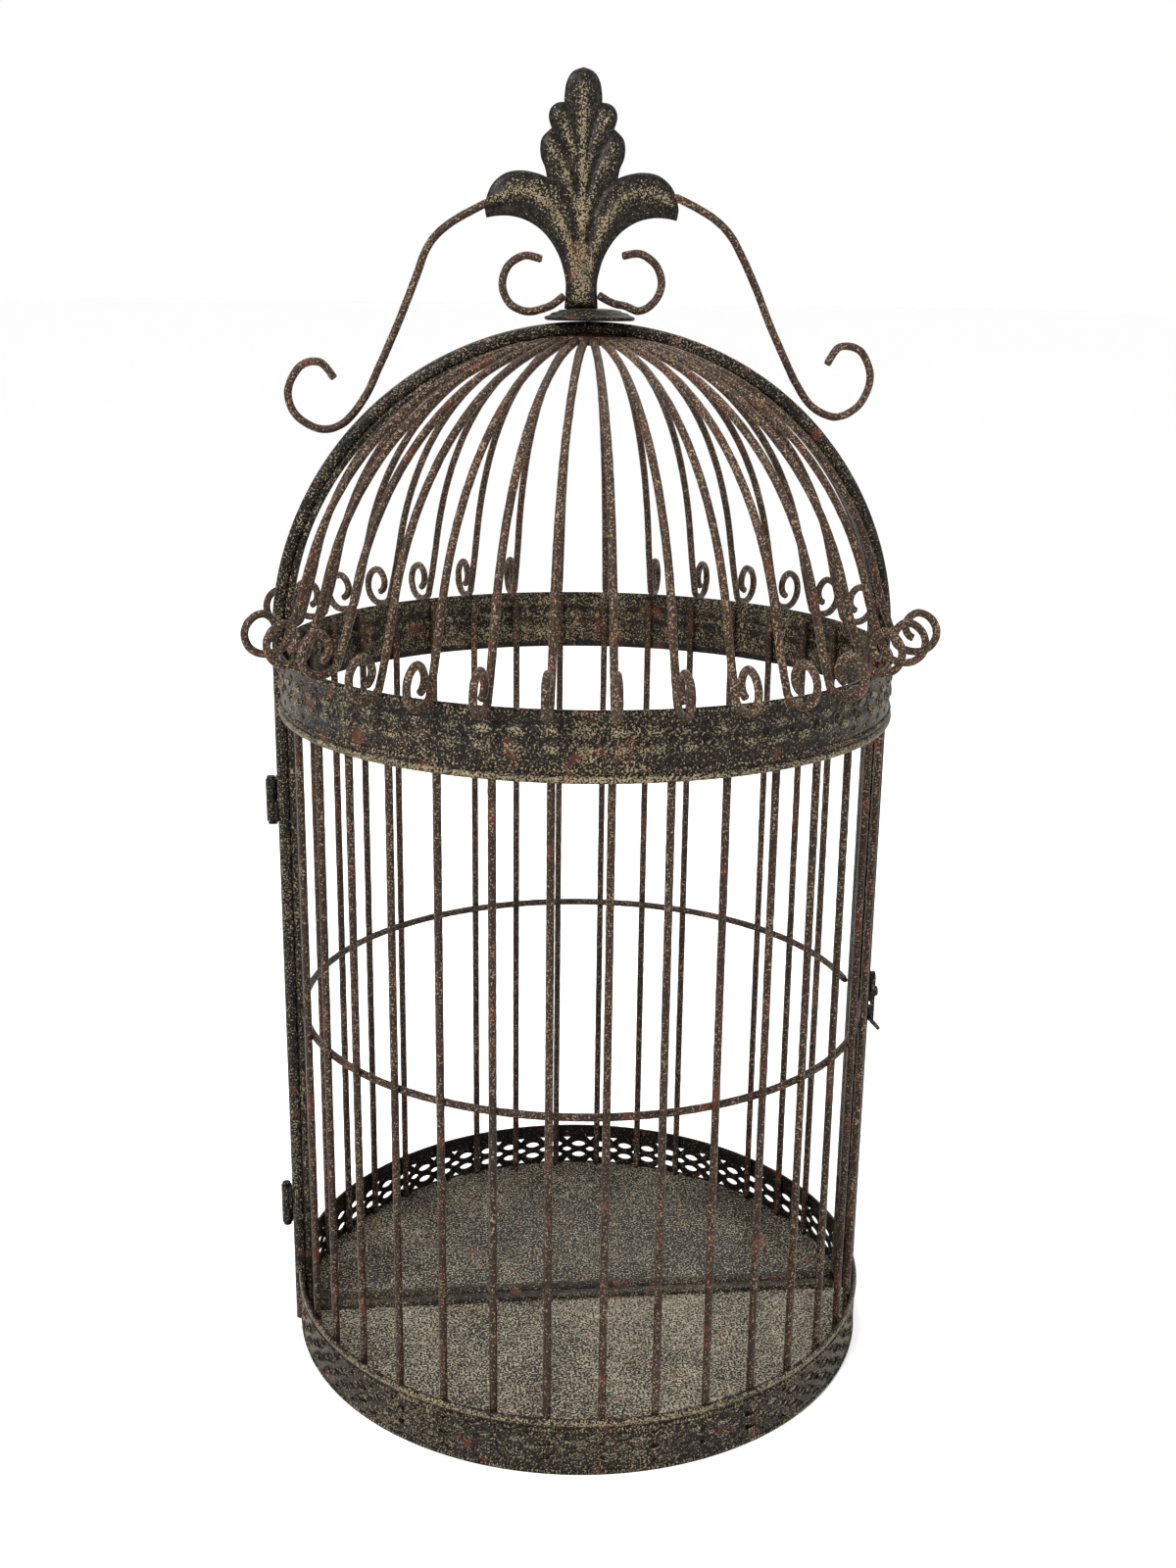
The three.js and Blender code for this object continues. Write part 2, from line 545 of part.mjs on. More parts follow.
// ---- latch -----------------------------------------------------------------------------------
// The lever hangs from its rivet; its slot opens towards the rear half and follows the arc on
// which the keeper meets it. Outline in (y, distance below the pivot).
function latchLever() {
  const side = LATCH_WIDTH / 2;
  const slotNear = KEEPER_REACH - KEEPER_RADIUS - GAP;
  const slotFar = KEEPER_REACH + KEEPER_RADIUS + GAP;
  const blind = (KEEPER_RADIUS + GAP) / KEEPER_REACH; // past the middle line, in radians
  const outline = new THREE.Shape();
  outline.moveTo(side, -LATCH_RISE);
  outline.absarc(0, -LATCH_RISE, side, 0, Math.PI, true);
  outline.lineTo(-side, LATCH_LENGTH);
  outline.lineTo(side, LATCH_LENGTH);
  outline.absarc(0, 0, slotFar, Math.acos(side / slotFar), Math.PI / 2 + blind, false);
  outline.absarc(0, 0, slotNear, Math.PI / 2 + blind, Math.acos(side / slotNear), true);
  outline.closePath();
  const plate = new THREE.ExtrudeGeometry(outline, {
    depth: LATCH_SHEET,
    bevelEnabled: false,
    curveSegments: 6,
  });
  // Shape x becomes y, shape y becomes -z, and the sheet's thickness runs along -x.
  plate.applyMatrix4(new THREE.Matrix4().set(0, 0, -1, LATCH_SHEET, 1, 0, 0, 0, 0, -1, 0, 0, 0, 0, 0, 1));
  const tail = box(0, LATCH_SHEET, -side, side, -LATCH_TAIL, LATCH_TAIL_WELD).rotateY(-LATCH_TAIL_ANGLE);
  tail.translate(0, 0, -LATCH_LENGTH);
  const holeRadius = LATCH_RIVET_RADIUS + LATCH_RIVET_CLEARANCE;
  const hole = new THREE.CylinderGeometry(holeRadius, holeRadius, 4 * LATCH_SHEET, STUD_FACETS);
  hole.rotateZ(Math.PI / 2);
  const lever = geometryOf(solid(plate).add(solid(tail)).subtract(solid(hole)));
  const mesh = named("latch_lever", lever);
  mesh.position.set(LATCH_INNER_FACE, -FRAME_MIDDLE, LATCH_HEIGHT);
  return mesh;
}

// A stud with a round head, standing out of a stile's outer edge along +x.
function stud(name, y, radius, headRadius) {
  const start = FRAME_OUTER_RADIUS + GAP;
  const neck = LATCH_OUTER_FACE + GAP;
  const profile = [
    [0, start],
    [radius, start],
    [radius, neck],
    [headRadius, neck],
    [headRadius * HEAD_TAPER, neck + HEAD_SHOULDER],
    [0, neck + HEAD_HEIGHT],
  ].map(([r, along]) => new THREE.Vector2(r, along));
  const turned = new THREE.LatheGeometry(profile, STUD_FACETS).rotateZ(-Math.PI / 2);
  return named(name, turned.translate(0, y, LATCH_HEIGHT));
}

// ---- the cage --------------------------------------------------------------------------------
const cage = new THREE.Group();
cage.add(half("rear", 0, 0));
const front = half("front", FRONT_GRILLE_TURN_DEG, FRONT_CURL_LIFT);
front.rotation.z = Math.PI;
cage.add(front);
cage.add(crownDisc(), finialLeaf());
cage.add(...Object.keys(S_SCROLLS).map(sScroll), ...Object.keys(C_SCROLLS).map(cScroll));
cage.add(hinge("upper_hinge", UPPER_HINGE_HEIGHT, true));
cage.add(hinge("lower_hinge", LOWER_HINGE_HEIGHT, false));
cage.add(latchLever());
cage.add(stud("latch_rivet", -FRAME_MIDDLE, LATCH_RIVET_RADIUS, RIVET_HEAD_RADIUS));
cage.add(stud("latch_keeper", FRAME_MIDDLE, KEEPER_RADIUS, KEEPER_HEAD_RADIUS));

export default cage;
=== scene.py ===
"""Looks of the domed bird cage: round wires, patterned and beaded bands, a veined leaf and speckled
antique paint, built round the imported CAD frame. Metres, in the CAD's own frame."""
import json
import math

import bpy
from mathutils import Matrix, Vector, geometry, noise


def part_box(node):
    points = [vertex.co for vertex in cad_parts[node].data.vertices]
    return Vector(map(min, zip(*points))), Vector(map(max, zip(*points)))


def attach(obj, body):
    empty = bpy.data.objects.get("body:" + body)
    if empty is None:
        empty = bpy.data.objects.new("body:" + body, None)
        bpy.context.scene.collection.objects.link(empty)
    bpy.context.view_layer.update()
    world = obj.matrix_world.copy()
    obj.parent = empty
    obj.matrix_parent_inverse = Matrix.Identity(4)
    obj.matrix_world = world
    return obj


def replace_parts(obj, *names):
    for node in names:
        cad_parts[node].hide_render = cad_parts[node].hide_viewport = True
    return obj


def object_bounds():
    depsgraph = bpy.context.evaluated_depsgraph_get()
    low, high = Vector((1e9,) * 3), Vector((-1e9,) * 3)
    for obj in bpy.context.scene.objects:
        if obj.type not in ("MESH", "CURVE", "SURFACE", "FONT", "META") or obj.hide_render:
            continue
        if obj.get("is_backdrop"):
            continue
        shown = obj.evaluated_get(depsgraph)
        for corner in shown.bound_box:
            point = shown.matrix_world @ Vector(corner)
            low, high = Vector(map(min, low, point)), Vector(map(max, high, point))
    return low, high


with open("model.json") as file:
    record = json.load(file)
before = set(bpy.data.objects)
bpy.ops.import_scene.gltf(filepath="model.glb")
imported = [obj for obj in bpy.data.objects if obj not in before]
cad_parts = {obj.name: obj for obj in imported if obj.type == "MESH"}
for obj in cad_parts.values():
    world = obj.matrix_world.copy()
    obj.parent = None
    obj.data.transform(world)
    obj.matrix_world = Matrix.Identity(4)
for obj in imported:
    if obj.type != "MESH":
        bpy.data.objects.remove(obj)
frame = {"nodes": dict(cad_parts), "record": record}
cad_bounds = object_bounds()

# ---- sizes ------------------------------------------------------------------------------------
MM = 0.001
WIRE_RADIUS = 2 * MM
RIB_STEP = math.radians(10)
RIBS_EACH_SIDE = 7
SHEET = 0.9 * MM  # thickness of the bands
RIM_BULGE = 1.3 * MM
RIM_HEIGHT = 4.5 * MM
DOME_RADIUS = 157 * MM
CURL_RADIUS = 10 * MM
CURL_END_RADIUS = 3.4 * MM
CURL_TURN = math.radians(340)
CURL_DIP = 1.4 * MM  # bottom of the loop below the upper band's top edge
FRONT_CURL_LIFT = 7 * MM  # for the front curls nearest the stiles
LIFTED_FROM = math.radians(45)
FRONT_GRILLE_TURN = math.radians(-1.2)
FLARE_START = math.radians(14)
GAP = 0.3 * MM


def corner(node, side, axis):
    """One coordinate of a CAD node's box: side 0 is the low end and 1 the high end."""
    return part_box(node)[side][axis]


FRAME_RADIUS = corner("rear_frame", 1, 0)
SPRING_LINE = corner("rear_frame", 1, 2) - FRAME_RADIUS
FRAME_NEAR = corner("rear_frame", 0, 1)
FRAME_FAR = corner("rear_frame", 1, 1)
HALF_START = FRAME_FAR + GAP
FRAME_FACE = 10 * MM
THRESHOLD_HEIGHT = 7 * MM
BAND_RADIUS = corner("rear_base_band", 1, 1) - RIM_BULGE
BASE_TOP = corner("rear_base_band", 1, 2)
UPPER_BOTTOM = corner("rear_upper_band", 0, 2)
UPPER_TOP = corner("rear_upper_band", 1, 2)
BAR_CIRCLE = corner("rear_bar_grille", 1, 1) - WIRE_RADIUS
BAR_FOOT = corner("rear_bar_grille", 0, 2)
BAR_TOP = corner("rear_bar_grille", 1, 2)
HOOP_INSET = 3.6 * MM  # hoop centre line inside the bars' own
HOOP_CIRCLE = BAR_CIRCLE - HOOP_INSET
HOOP_HEIGHT = 194.6 * MM
HUB_RADIUS = corner("rear_rib_hub", 1, 1) + 2 * GAP
CURL_CENTRE = BAND_RADIUS + WIRE_RADIUS + CURL_RADIUS
FRAME_MIDDLE = (FRAME_NEAR + FRAME_FAR) / 2
SIDES = {"rear": 1, "front": -1}  # the front half is the rear half turned half round

# ---- camera, light and floor ---------------------------------------------------------------------
CAMERA_REACH = 0.9092  # from the cage's axis, level
CAMERA_HEIGHT = 0.5716
CAMERA_TURN = math.radians(5.82)  # round the cage, to the left of straight ahead
CAMERA_PAN = math.radians(0.14)  # then a little to the right
CAMERA_DOWN = math.radians(15.64)
CAMERA_ROLL = math.radians(0.74)
FOCAL_LENGTH = 39.8
SENSOR_LONG_SIDE = 36
STUDIO_MIDDLE = (0, 0, 0.3)  # where every light points
LIGHTS = [  # name, place, size, watts
    ("key", (-1.1, -1.3, 1.7), 0.9, 62),
    ("fill", (1.5, -1.1, 0.9), 1.4, 12),
    ("top", (0.1, 0.3, 1.9), 1.2, 14),
    ("back", (0.6, 1.6, 1.2), 1.4, 10),
]
WORLD_STRENGTH = 1.0
PAPER_SIZE = 400
PAPER_WHITE = 0.985
PAPER_ROUGHNESS = 0.9


def make_camera():
    data = bpy.data.cameras.new("camera")
    data.lens = FOCAL_LENGTH
    data.sensor_fit = "AUTO"
    data.sensor_width = SENSOR_LONG_SIDE
    camera = bpy.data.objects.new("camera", data)
    bpy.context.collection.objects.link(camera)
    turn = math.sin(CAMERA_TURN), math.cos(CAMERA_TURN)
    camera.location = (-CAMERA_REACH * turn[0], -CAMERA_REACH * turn[1], CAMERA_HEIGHT)
    facing = math.sin(CAMERA_TURN + CAMERA_PAN), math.cos(CAMERA_TURN + CAMERA_PAN)
    level = math.cos(CAMERA_DOWN)
    ahead = Vector((facing[0] * level, facing[1] * level, -math.sin(CAMERA_DOWN)))
    right = Vector((facing[1], -facing[0], 0))
    up = right.cross(ahead)
    tilted = right * math.cos(CAMERA_ROLL) + up * math.sin(CAMERA_ROLL)
    up = tilted.cross(ahead)
    basis = camera.rotation_euler.to_matrix()
    basis.col[0] = tilted
    basis.col[1] = up
    basis.col[2] = -ahead
    camera.rotation_euler = basis.to_euler()
    bpy.context.scene.camera = camera


def area_light(name, place, size, watts):
    data = bpy.data.lights.new(name, "AREA")
    data.size = size
    data.energy = watts
    light = bpy.data.objects.new(name, data)
    light.location = place
    aim = Vector(STUDIO_MIDDLE) - Vector(place)
    light.rotation_euler = aim.to_track_quat("-Z", "Y").to_euler()
    bpy.context.collection.objects.link(light)


def make_studio():
    for light in LIGHTS:
        area_light(*light)
    world = bpy.context.scene.world or bpy.data.worlds.new("studio")
    bpy.context.scene.world = world
    world.use_nodes = True
    background = world.node_tree.nodes["Background"]
    background.inputs["Color"].default_value = (1, 1, 1, 1)
    background.inputs["Strength"].default_value = WORLD_STRENGTH
    bpy.ops.mesh.primitive_plane_add(size=PAPER_SIZE)
    floor = bpy.context.object
    floor.name = "studio_floor"
    paper = bpy.data.materials.new("studio_paper")
    paper.use_nodes = True
    shader = paper.node_tree.nodes["Principled BSDF"]
    shader.inputs["Base Color"].default_value = (PAPER_WHITE, PAPER_WHITE, PAPER_WHITE, 1)
    shader.inputs["Roughness"].default_value = PAPER_ROUGHNESS
    floor.data.materials.append(paper)
    floor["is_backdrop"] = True
    bpy.context.scene.view_settings.view_transform = "Standard"


# ---- materials -----------------------------------------------------------------------------------
class Nodes:
    """Short names for building one material's node tree."""

    def __init__(self, name):
        self.material = bpy.data.materials.new(name)
        self.material.use_nodes = True
        self.tree = self.material.node_tree
        self.shader = self.tree.nodes["Principled BSDF"]
        self.place = self.tree.nodes.new("ShaderNodeTexCoord").outputs["Object"]

    def link(self, source, target):
        self.tree.links.new(source, target)

    def noise(self, feature, detail=2.0):
        """Noise whose blotches are about this many metres across."""
        node = self.tree.nodes.new("ShaderNodeTexNoise")
        node.inputs["Scale"].default_value = 0.5 / feature
        node.inputs["Detail"].default_value = detail
        self.link(self.place, node.inputs["Vector"])
        return node.outputs["Fac"]

    def axis(self, name):
        """One of the object's own coordinates, in millimetres."""
        node = self.tree.nodes.new("ShaderNodeSeparateXYZ")
        self.link(self.place, node.inputs["Vector"])
        return self.math("DIVIDE", node.outputs[name], MM)

    def from_axis(self):
        """Distance from the cage's upright axis, in millimetres."""
        across = self.math("POWER", self.axis("X"), 2)
        along = self.math("POWER", self.axis("Y"), 2)
        return self.math("POWER", self.math("ADD", across, along), 0.5)

    def math(self, operation, first, second):
        node = self.tree.nodes.new("ShaderNodeMath")
        node.operation = operation
        for socket, value in zip(node.inputs, (first, second)):
            if isinstance(value, (int, float)):
                socket.default_value = value
            else:
                self.link(value, socket)
        return node.outputs[0]

    def step(self, value, low, high):
        """0 below low, 1 above high, smooth between."""
        node = self.tree.nodes.new("ShaderNodeMapRange")
        node.interpolation_type = "SMOOTHSTEP"
        node.inputs["From Min"].default_value = low
        node.inputs["From Max"].default_value = high
        self.link(value, node.inputs["Value"])
        return node.outputs["Result"]

    def mix(self, amount, first, second):
        node = self.tree.nodes.new("ShaderNodeMix")
        node.data_type = "RGBA"
        self.link(amount, node.inputs["Factor"])
        for socket, value in ((node.inputs["A"], first), (node.inputs["B"], second)):
            if isinstance(value, tuple):
                socket.default_value = (*value, 1)
            else:
                self.link(value, socket)
        return node.outputs["Result"]


DARK = (0.005, 0.004, 0.004)
CREAM = (0.30, 0.24, 0.145)
OLIVE = (0.055, 0.045, 0.026)
PLATE_SPECKLE = (0.46, 0.41, 0.31)
RUST = (0.055, 0.016, 0.010)
DRIFT_SIZE = 22 * MM  # wide areas with more or fewer dots
DRIFT_SHARE = 0.2
CLOUD_SIZE = 2.4 * MM  # small clusters of dots
CLOUD_SHARE = 0.18
RUST_SIZE = 7 * MM
SHADE_SIZE = 3 * MM  # drift between the two speckle colours, and the paint's slow bumps
UNDER_COARSER = 1.9  # the lower speckle's size against the upper one's
# Painted highlight and painted shade from the relief: raised places get more light speckle, sunk places
# less. Relief heights are clamped between these and scaled by the share below.
RELIEF_LOW = -1.5  # millimetres
RELIEF_HIGH = 1.2
RELIEF_SHADE_SHARE = 0.1
DOT_EDGE = (-0.005, 0.035)  # where a dot's edge starts and ends, about the noise's edge
UNDER_EDGE = (-0.06, 0.05)
RUST_START = (0.66, 0.18)  # the noise at which rust starts, and how far more rust lowers it
RUST_FULL = (0.74, 0.12)
NOISE_SPREAD = 0.42  # how far the noise's edge moves as the cover goes from half to nothing
DOT_STRENGTH = 0.85
UNDER_STRENGTH = 0.22
RUST_STRENGTH = 0.85
SMOOTHEST = 0.42
DOT_ROUGHER = 0.3
SHINE = 0.08
BUMP_STRENGTH = 0.6
BUMP_HEIGHT = 0.2 * MM
DOT_BUMP = 0.6


def antique_paint(
    name, cover, rust=0.3, grain=0.45 * MM, paint=DARK, speckle=CREAM, second=OLIVE, raised=None
):
    """Dark paint sponged with two colours of fine speckle. cover is the share that is speckled, and
    raised gives how far a place stands out, in millimetres: raised places get more light speckle as
    painted highlight and sunk places less as painted shade."""
    nodes = Nodes(name)
    drift = nodes.math("SUBTRACT", nodes.noise(DRIFT_SIZE, 3), 0.5)
    cloud = nodes.math("SUBTRACT", nodes.noise(CLOUD_SIZE, 2), 0.5)
    fine = nodes.noise(grain, 1)
    lifted = nodes.math("ADD", fine, nodes.math("MULTIPLY", drift, DRIFT_SHARE))
    lifted = nodes.math("ADD", lifted, nodes.math("MULTIPLY", cloud, CLOUD_SHARE))
    # Painted highlight and painted shade: raised places get more light speckle, sunk places less.
    if raised:
        height = nodes.math("MINIMUM", raised(nodes), RELIEF_HIGH)
        height = nodes.math("MAXIMUM", height, RELIEF_LOW)
        lifted = nodes.math("ADD", lifted, nodes.math("MULTIPLY", height, RELIEF_SHADE_SHARE))
    edge = 0.5 + (0.5 - cover) * NOISE_SPREAD
    dots = nodes.step(lifted, edge + DOT_EDGE[0], edge + DOT_EDGE[1])
    coarse = nodes.noise(grain * UNDER_COARSER, 2)
    under = nodes.step(coarse, edge + UNDER_EDGE[0], edge + UNDER_EDGE[1])
    start, full = (level - drop * rust for level, drop in (RUST_START, RUST_FULL))
    patches = nodes.step(nodes.noise(RUST_SIZE, 4), start, full)
    ground = nodes.mix(nodes.math("MULTIPLY", patches, RUST_STRENGTH), paint, RUST)
    ground = nodes.mix(nodes.math("MULTIPLY", under, UNDER_STRENGTH), ground, second)
    shade = nodes.mix(nodes.noise(SHADE_SIZE, 3), speckle, second)
    colour = nodes.mix(nodes.math("MULTIPLY", dots, DOT_STRENGTH), ground, shade)
    nodes.link(colour, nodes.shader.inputs["Base Color"])
    roughness = nodes.math("ADD", nodes.math("MULTIPLY", dots, DOT_ROUGHER), SMOOTHEST)
    nodes.link(roughness, nodes.shader.inputs["Roughness"])
    nodes.shader.inputs["Specular IOR Level"].default_value = SHINE
    bump = nodes.tree.nodes.new("ShaderNodeBump")
    bump.inputs["Strength"].default_value = BUMP_STRENGTH
    bump.inputs["Distance"].default_value = BUMP_HEIGHT
    dot_relief = nodes.math("MULTIPLY", dots, DOT_BUMP)
    relief = nodes.math("ADD", dot_relief, nodes.noise(SHADE_SIZE, 3))
    nodes.link(relief, bump.inputs["Height"])
    nodes.link(bump.outputs["Normal"], nodes.shader.inputs["Normal"])
    return nodes.material


# Where the relief's painted highlight and painted shade neither lighten nor darken, in millimetres.
OUTSIDE_LEVEL = 0.25  # out from the band's outer face
INSIDE_LEVEL = 0.2  # out from the band's inner face
LEAF_LEVEL = 3.0  # from the leaf's middle plane


# Relief heights that paint highlight and shade into the speckle: the bands' outer and inner faces, and
# the leaf's thickness, where grooves and thin edges come out darker.
def band_outside_shade(nodes):
    return nodes.math("SUBTRACT", nodes.from_axis(), BAND_RADIUS / MM + OUTSIDE_LEVEL)


def band_inside(nodes):
    return nodes.math("SUBTRACT", (BAND_RADIUS - SHEET) / MM + INSIDE_LEVEL, nodes.from_axis())


def leaf_relief_shade(nodes):
    from_middle = nodes.math("SUBTRACT", nodes.axis("Y"), FRAME_MIDDLE / MM)
    thickness = nodes.math("POWER", nodes.math("POWER", from_middle, 2), 0.5)
    return nodes.math("SUBTRACT", thickness, LEAF_LEVEL)


def make_materials():
    bar = {"paint": (0.016, 0.009, 0.007), "speckle": (0.30, 0.21, 0.13)}
    rib = {"paint": (0.022, 0.013, 0.010), "speckle": (0.34, 0.23, 0.14)}
    floor = {"grain": 0.6 * MM, "speckle": PLATE_SPECKLE}
    band = {"cover": 0.3, "rust": 0.4}
    return {
        "frame_iron": antique_paint("frame_iron", cover=0.26, rust=0.25),
        # The bands and the leaf carry painted highlight and painted shade from their relief.
        "embossed_band": antique_paint("embossed_band", raised=band_outside_shade, **band),
        "embossed_band_inside": antique_paint("embossed_band_inside", raised=band_inside, **band),
        "pierced_band_inside": antique_paint("pierced_band_inside", cover=0.1, rust=0.1),
        "bar_wire": antique_paint("bar_wire", cover=0.26, rust=0.5, **bar),
        "curl_wire": antique_paint("curl_wire", cover=0.3, rust=0.5, **rib),
        "floor_plate": antique_paint("floor_plate", cover=0.48, **floor),
        "rear_floor_plate": antique_paint("rear_floor_plate", cover=0.36, **floor),
        "finial_casting": antique_paint("finial_casting", cover=0.4, rust=0.3, raised=leaf_relief_shade),
        "crown_iron": antique_paint("crown_iron", cover=0.16, rust=0.3),
        "fittings_iron": antique_paint("fittings_iron", cover=0.2, rust=0.2),
    }


# ---- mesh helpers --------------------------------------------------------------------------------
INSIDE = 1  # the paint number of faces that look into the cage


class Shape:
    """Vertices and faces of one piece, gathered before it becomes an object."""

    def __init__(self):
        self.points = []
        self.faces = []
        self.paints = []

    def add(self, points, faces, paint=0):
        start = len(self.points) if points else 0
        self.points.extend(points)
        self.faces.extend([tuple(start + index for index in face) for face in faces])
        self.paints.extend([paint] * len(faces))

    def turned(self, side):
        """The same shape in the other half, turned half round the cage's axis."""
        for i, point in enumerate(self.points):
            self.points[i] = (side * point[0], side * point[1], point[2])
        return self

    def piece(self, name, body, slot, lining=None):
        mesh = bpy.data.meshes.new(name)
        mesh.from_pydata([tuple(point) for point in self.points], [], self.faces)
        mesh.materials.append(MATERIALS[slot])
        if lining:
            mesh.materials.append(MATERIALS[lining])
        mesh.polygons.foreach_set("material_index", self.paints)
        mesh.validate()
        mesh.shade_smooth()
        made = bpy.data.objects.new(name, mesh)
        bpy.context.collection.objects.link(made)
        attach(made, body)
        return made


def sweep(points, section, across):
    """Points and faces of a section swept along an open path. section holds (out, over) pairs and
    across gives the two directions they lie along where the path runs in a given direction."""
    rings = []
    for i, point in enumerate(points):
        before = points[max(i - 1, 0)]
        after = points[min(i + 1, len(points) - 1)]
        out, over = across((after - before).normalized())
        rings.append([point + out * a + over * b for a, b in section])
    vertices = [corner_point for ring in rings for corner_point in ring]
    count = len(section)
    faces = []
    for i in range(len(rings) - 1):
        here = i * count
        there = here + count
        for j in range(count):
            k = (j + 1) % count
            faces.append((here + j, here + k, there + k, there + j))
    faces.append(tuple(reversed(range(count))))
    faces.append(tuple(range(len(vertices) - count, len(vertices))))
    return vertices, faces


LUMP = 0.07  # how far the paint's lumps swell or thin a wire, as a share of its radius
LUMPS_PER_METRE = 260
CUT_END = 0.75  # a cut end's radius as a share of the wire's
END_ROUND = 0.001  # where the wire starts to narrow, as a share of its last step


def round_section(radius, sides):
    turns = [2 * math.pi * i / sides for i in range(sides)]
    return [(radius * math.cos(turn), radius * math.sin(turn)) for turn in turns]


def add_wire(shape, points, plane, seed, sides=10):
    """A round wire through points that lie in one plane, given by its normal, with lumpy paint and
    softened cut ends."""

    def across(direction):
        return direction.cross(plane).normalized(), plane

    first = points[0].lerp(points[1], END_ROUND)
    last = points[-1].lerp(points[-2], END_ROUND)
    body = [first] + points[1:-1] + [last]
    vertices, faces = sweep(body, round_section(WIRE_RADIUS, sides), across)
    for index, vertex in enumerate(vertices):
        centre = body[index // sides]
        lump = 1 + LUMP * noise.noise(vertex * LUMPS_PER_METRE + Vector((seed, seed, 0)))
        if index // sides in (0, len(body) - 1):
            lump *= CUT_END
        vertices[index] = centre + (vertex - centre) * lump
    shape.add(vertices, faces)


# ---- wires ---------------------------------------------------------------------------------------
SHOULDER_LEAN = 0.12  # how far a rib leans out as it nears the band, as a share of its drop
LOOP_LEAD = 0.3  # where the loop's first bend turns, as a share of its radius
RIB_SEED_STEP = 3.7
BAR_SEED_STEP = 5.1
BAR_SEED_HALF = 40
DOME_STEPS = 44
SHOULDER_STEPS = 14
LOOP_STEPS = 10
CURL_STEPS = 48
BAR_STEPS = 150
HOOP_STEPS = 160
HOOP_SEED = 9.0
SCROLL_SIDES = 12


def directions(side):
    """Angles of one half's bars and ribs, from its right round to its left."""
    turn = FRONT_GRILLE_TURN if side == "front" else 0
    steps = range(-RIBS_EACH_SIDE, RIBS_EACH_SIDE + 1)
    return [math.pi / 2 + i * RIB_STEP + turn for i in steps]


def bezier(start, leave, arrive, end, steps):
    """Points after the start of a curve between two points in a rib's plane."""
    ends = [Vector(point) for point in (start, leave, arrive, end)]
    return [(point.x, point.y) for point in geometry.interpolate_bezier(*ends, steps + 1)[1:]]


def rib_profile(start, lift):
    """A rib's centre line in its own upright plane, as (distance from the axis, height). It leaves
    the dome, passes over the upper band's edge and curls up and round."""
    top = math.acos(start / DOME_RADIUS)
    profile = []
    for i in range(DOME_STEPS + 1):
        rise = top + (FLARE_START - top) * i / DOME_STEPS
        profile.append((DOME_RADIUS * math.cos(rise), SPRING_LINE + DOME_RADIUS * math.sin(rise)))
    out, height = profile[-1]
    shoulder = (BAND_RADIUS + WIRE_RADIUS, UPPER_TOP + WIRE_RADIUS + GAP + lift)
    bottom = (CURL_CENTRE, UPPER_TOP - CURL_DIP + lift)
    drop = height - shoulder[1]
    leave = (out + math.sin(FLARE_START) * drop / 3, height - math.cos(FLARE_START) * drop / 3)
    arrive = (shoulder[0] - drop * SHOULDER_LEAN, shoulder[1] + drop / 3)
    profile.extend(bezier((out, height), leave, arrive, shoulder, SHOULDER_STEPS))
    corner_point = (shoulder[0] + CURL_RADIUS * LOOP_LEAD, bottom[1])
    first = tuple(a + (b - a) * 2 / 3 for a, b in zip(shoulder, corner_point))
    second = tuple(a + (b - a) * 2 / 3 for a, b in zip(bottom, corner_point))
    profile.extend(bezier(shoulder, first, second, bottom, LOOP_STEPS))
    centre = bottom[1] + CURL_RADIUS
    for i in range(1, CURL_STEPS + 1):
        turned = CURL_TURN * i / CURL_STEPS
        wound = max(0, (turned - math.pi) / (CURL_TURN - math.pi))
        radius = CURL_RADIUS + (CURL_END_RADIUS - CURL_RADIUS) * math.sin(wound * math.pi / 2)
        angle = turned - math.pi / 2
        profile.append((CURL_CENTRE + radius * math.cos(angle), centre + radius * math.sin(angle)))
    return profile


def make_rib(side, number, angle):
    beside_frame = (HALF_START + WIRE_RADIUS) / math.sin(angle)
    near_stile = side == "front" and abs(angle - math.pi / 2) > LIFTED_FROM
    profile = rib_profile(max(HUB_RADIUS, beside_frame), FRONT_CURL_LIFT if near_stile else 0)
    points = [Vector((out * math.cos(angle), out * math.sin(angle), height)) for out, height in profile]
    plane = Vector((-math.sin(angle), math.cos(angle), 0))
    shape = Shape()
    add_wire(shape, points, plane, number * RIB_SEED_STEP + SIDES[side])
    node = f"{side}_rib_{number:02d}"
    rib = shape.turned(SIDES[side]).piece(node + "_wire", side + "_half", "curl_wire")
    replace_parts(rib, node)


def make_bar(side, number, angle):
    foot = Vector((BAR_CIRCLE * math.cos(angle), BAR_CIRCLE * math.sin(angle), BAR_FOOT))
    rise = Vector((0, 0, BAR_TOP - BAR_FOOT))
    points = [foot + rise * (i / BAR_STEPS) for i in range(BAR_STEPS + 1)]
    plane = Vector((-math.sin(angle), math.cos(angle), 0))
    shape = Shape()
    add_wire(shape, points, plane, number * BAR_SEED_STEP + BAR_SEED_HALF * SIDES[side])
    shape.turned(SIDES[side]).piece(f"{side}_bar_{number:02d}", side + "_half", "bar_wire")


def hoop_route():
    """Points round the rear half's hoop, from the right stile to the left."""
    first = math.asin(HALF_START / HOOP_CIRCLE)
    points = []
    for i in range(HOOP_STEPS + 1):
        angle = first + (math.pi - 2 * first) * i / HOOP_STEPS
        points.append(Vector((HOOP_CIRCLE * math.cos(angle), HOOP_CIRCLE * math.sin(angle), HOOP_HEIGHT)))
    return points


def make_hoop(side):
    shape = Shape()
    add_wire(shape, hoop_route(), Vector((0, 0, 1)), HOOP_SEED)
    hoop = shape.turned(SIDES[side]).piece(side + "_hoop", side + "_half", "bar_wire")
    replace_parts(hoop, side + "_bar_grille")


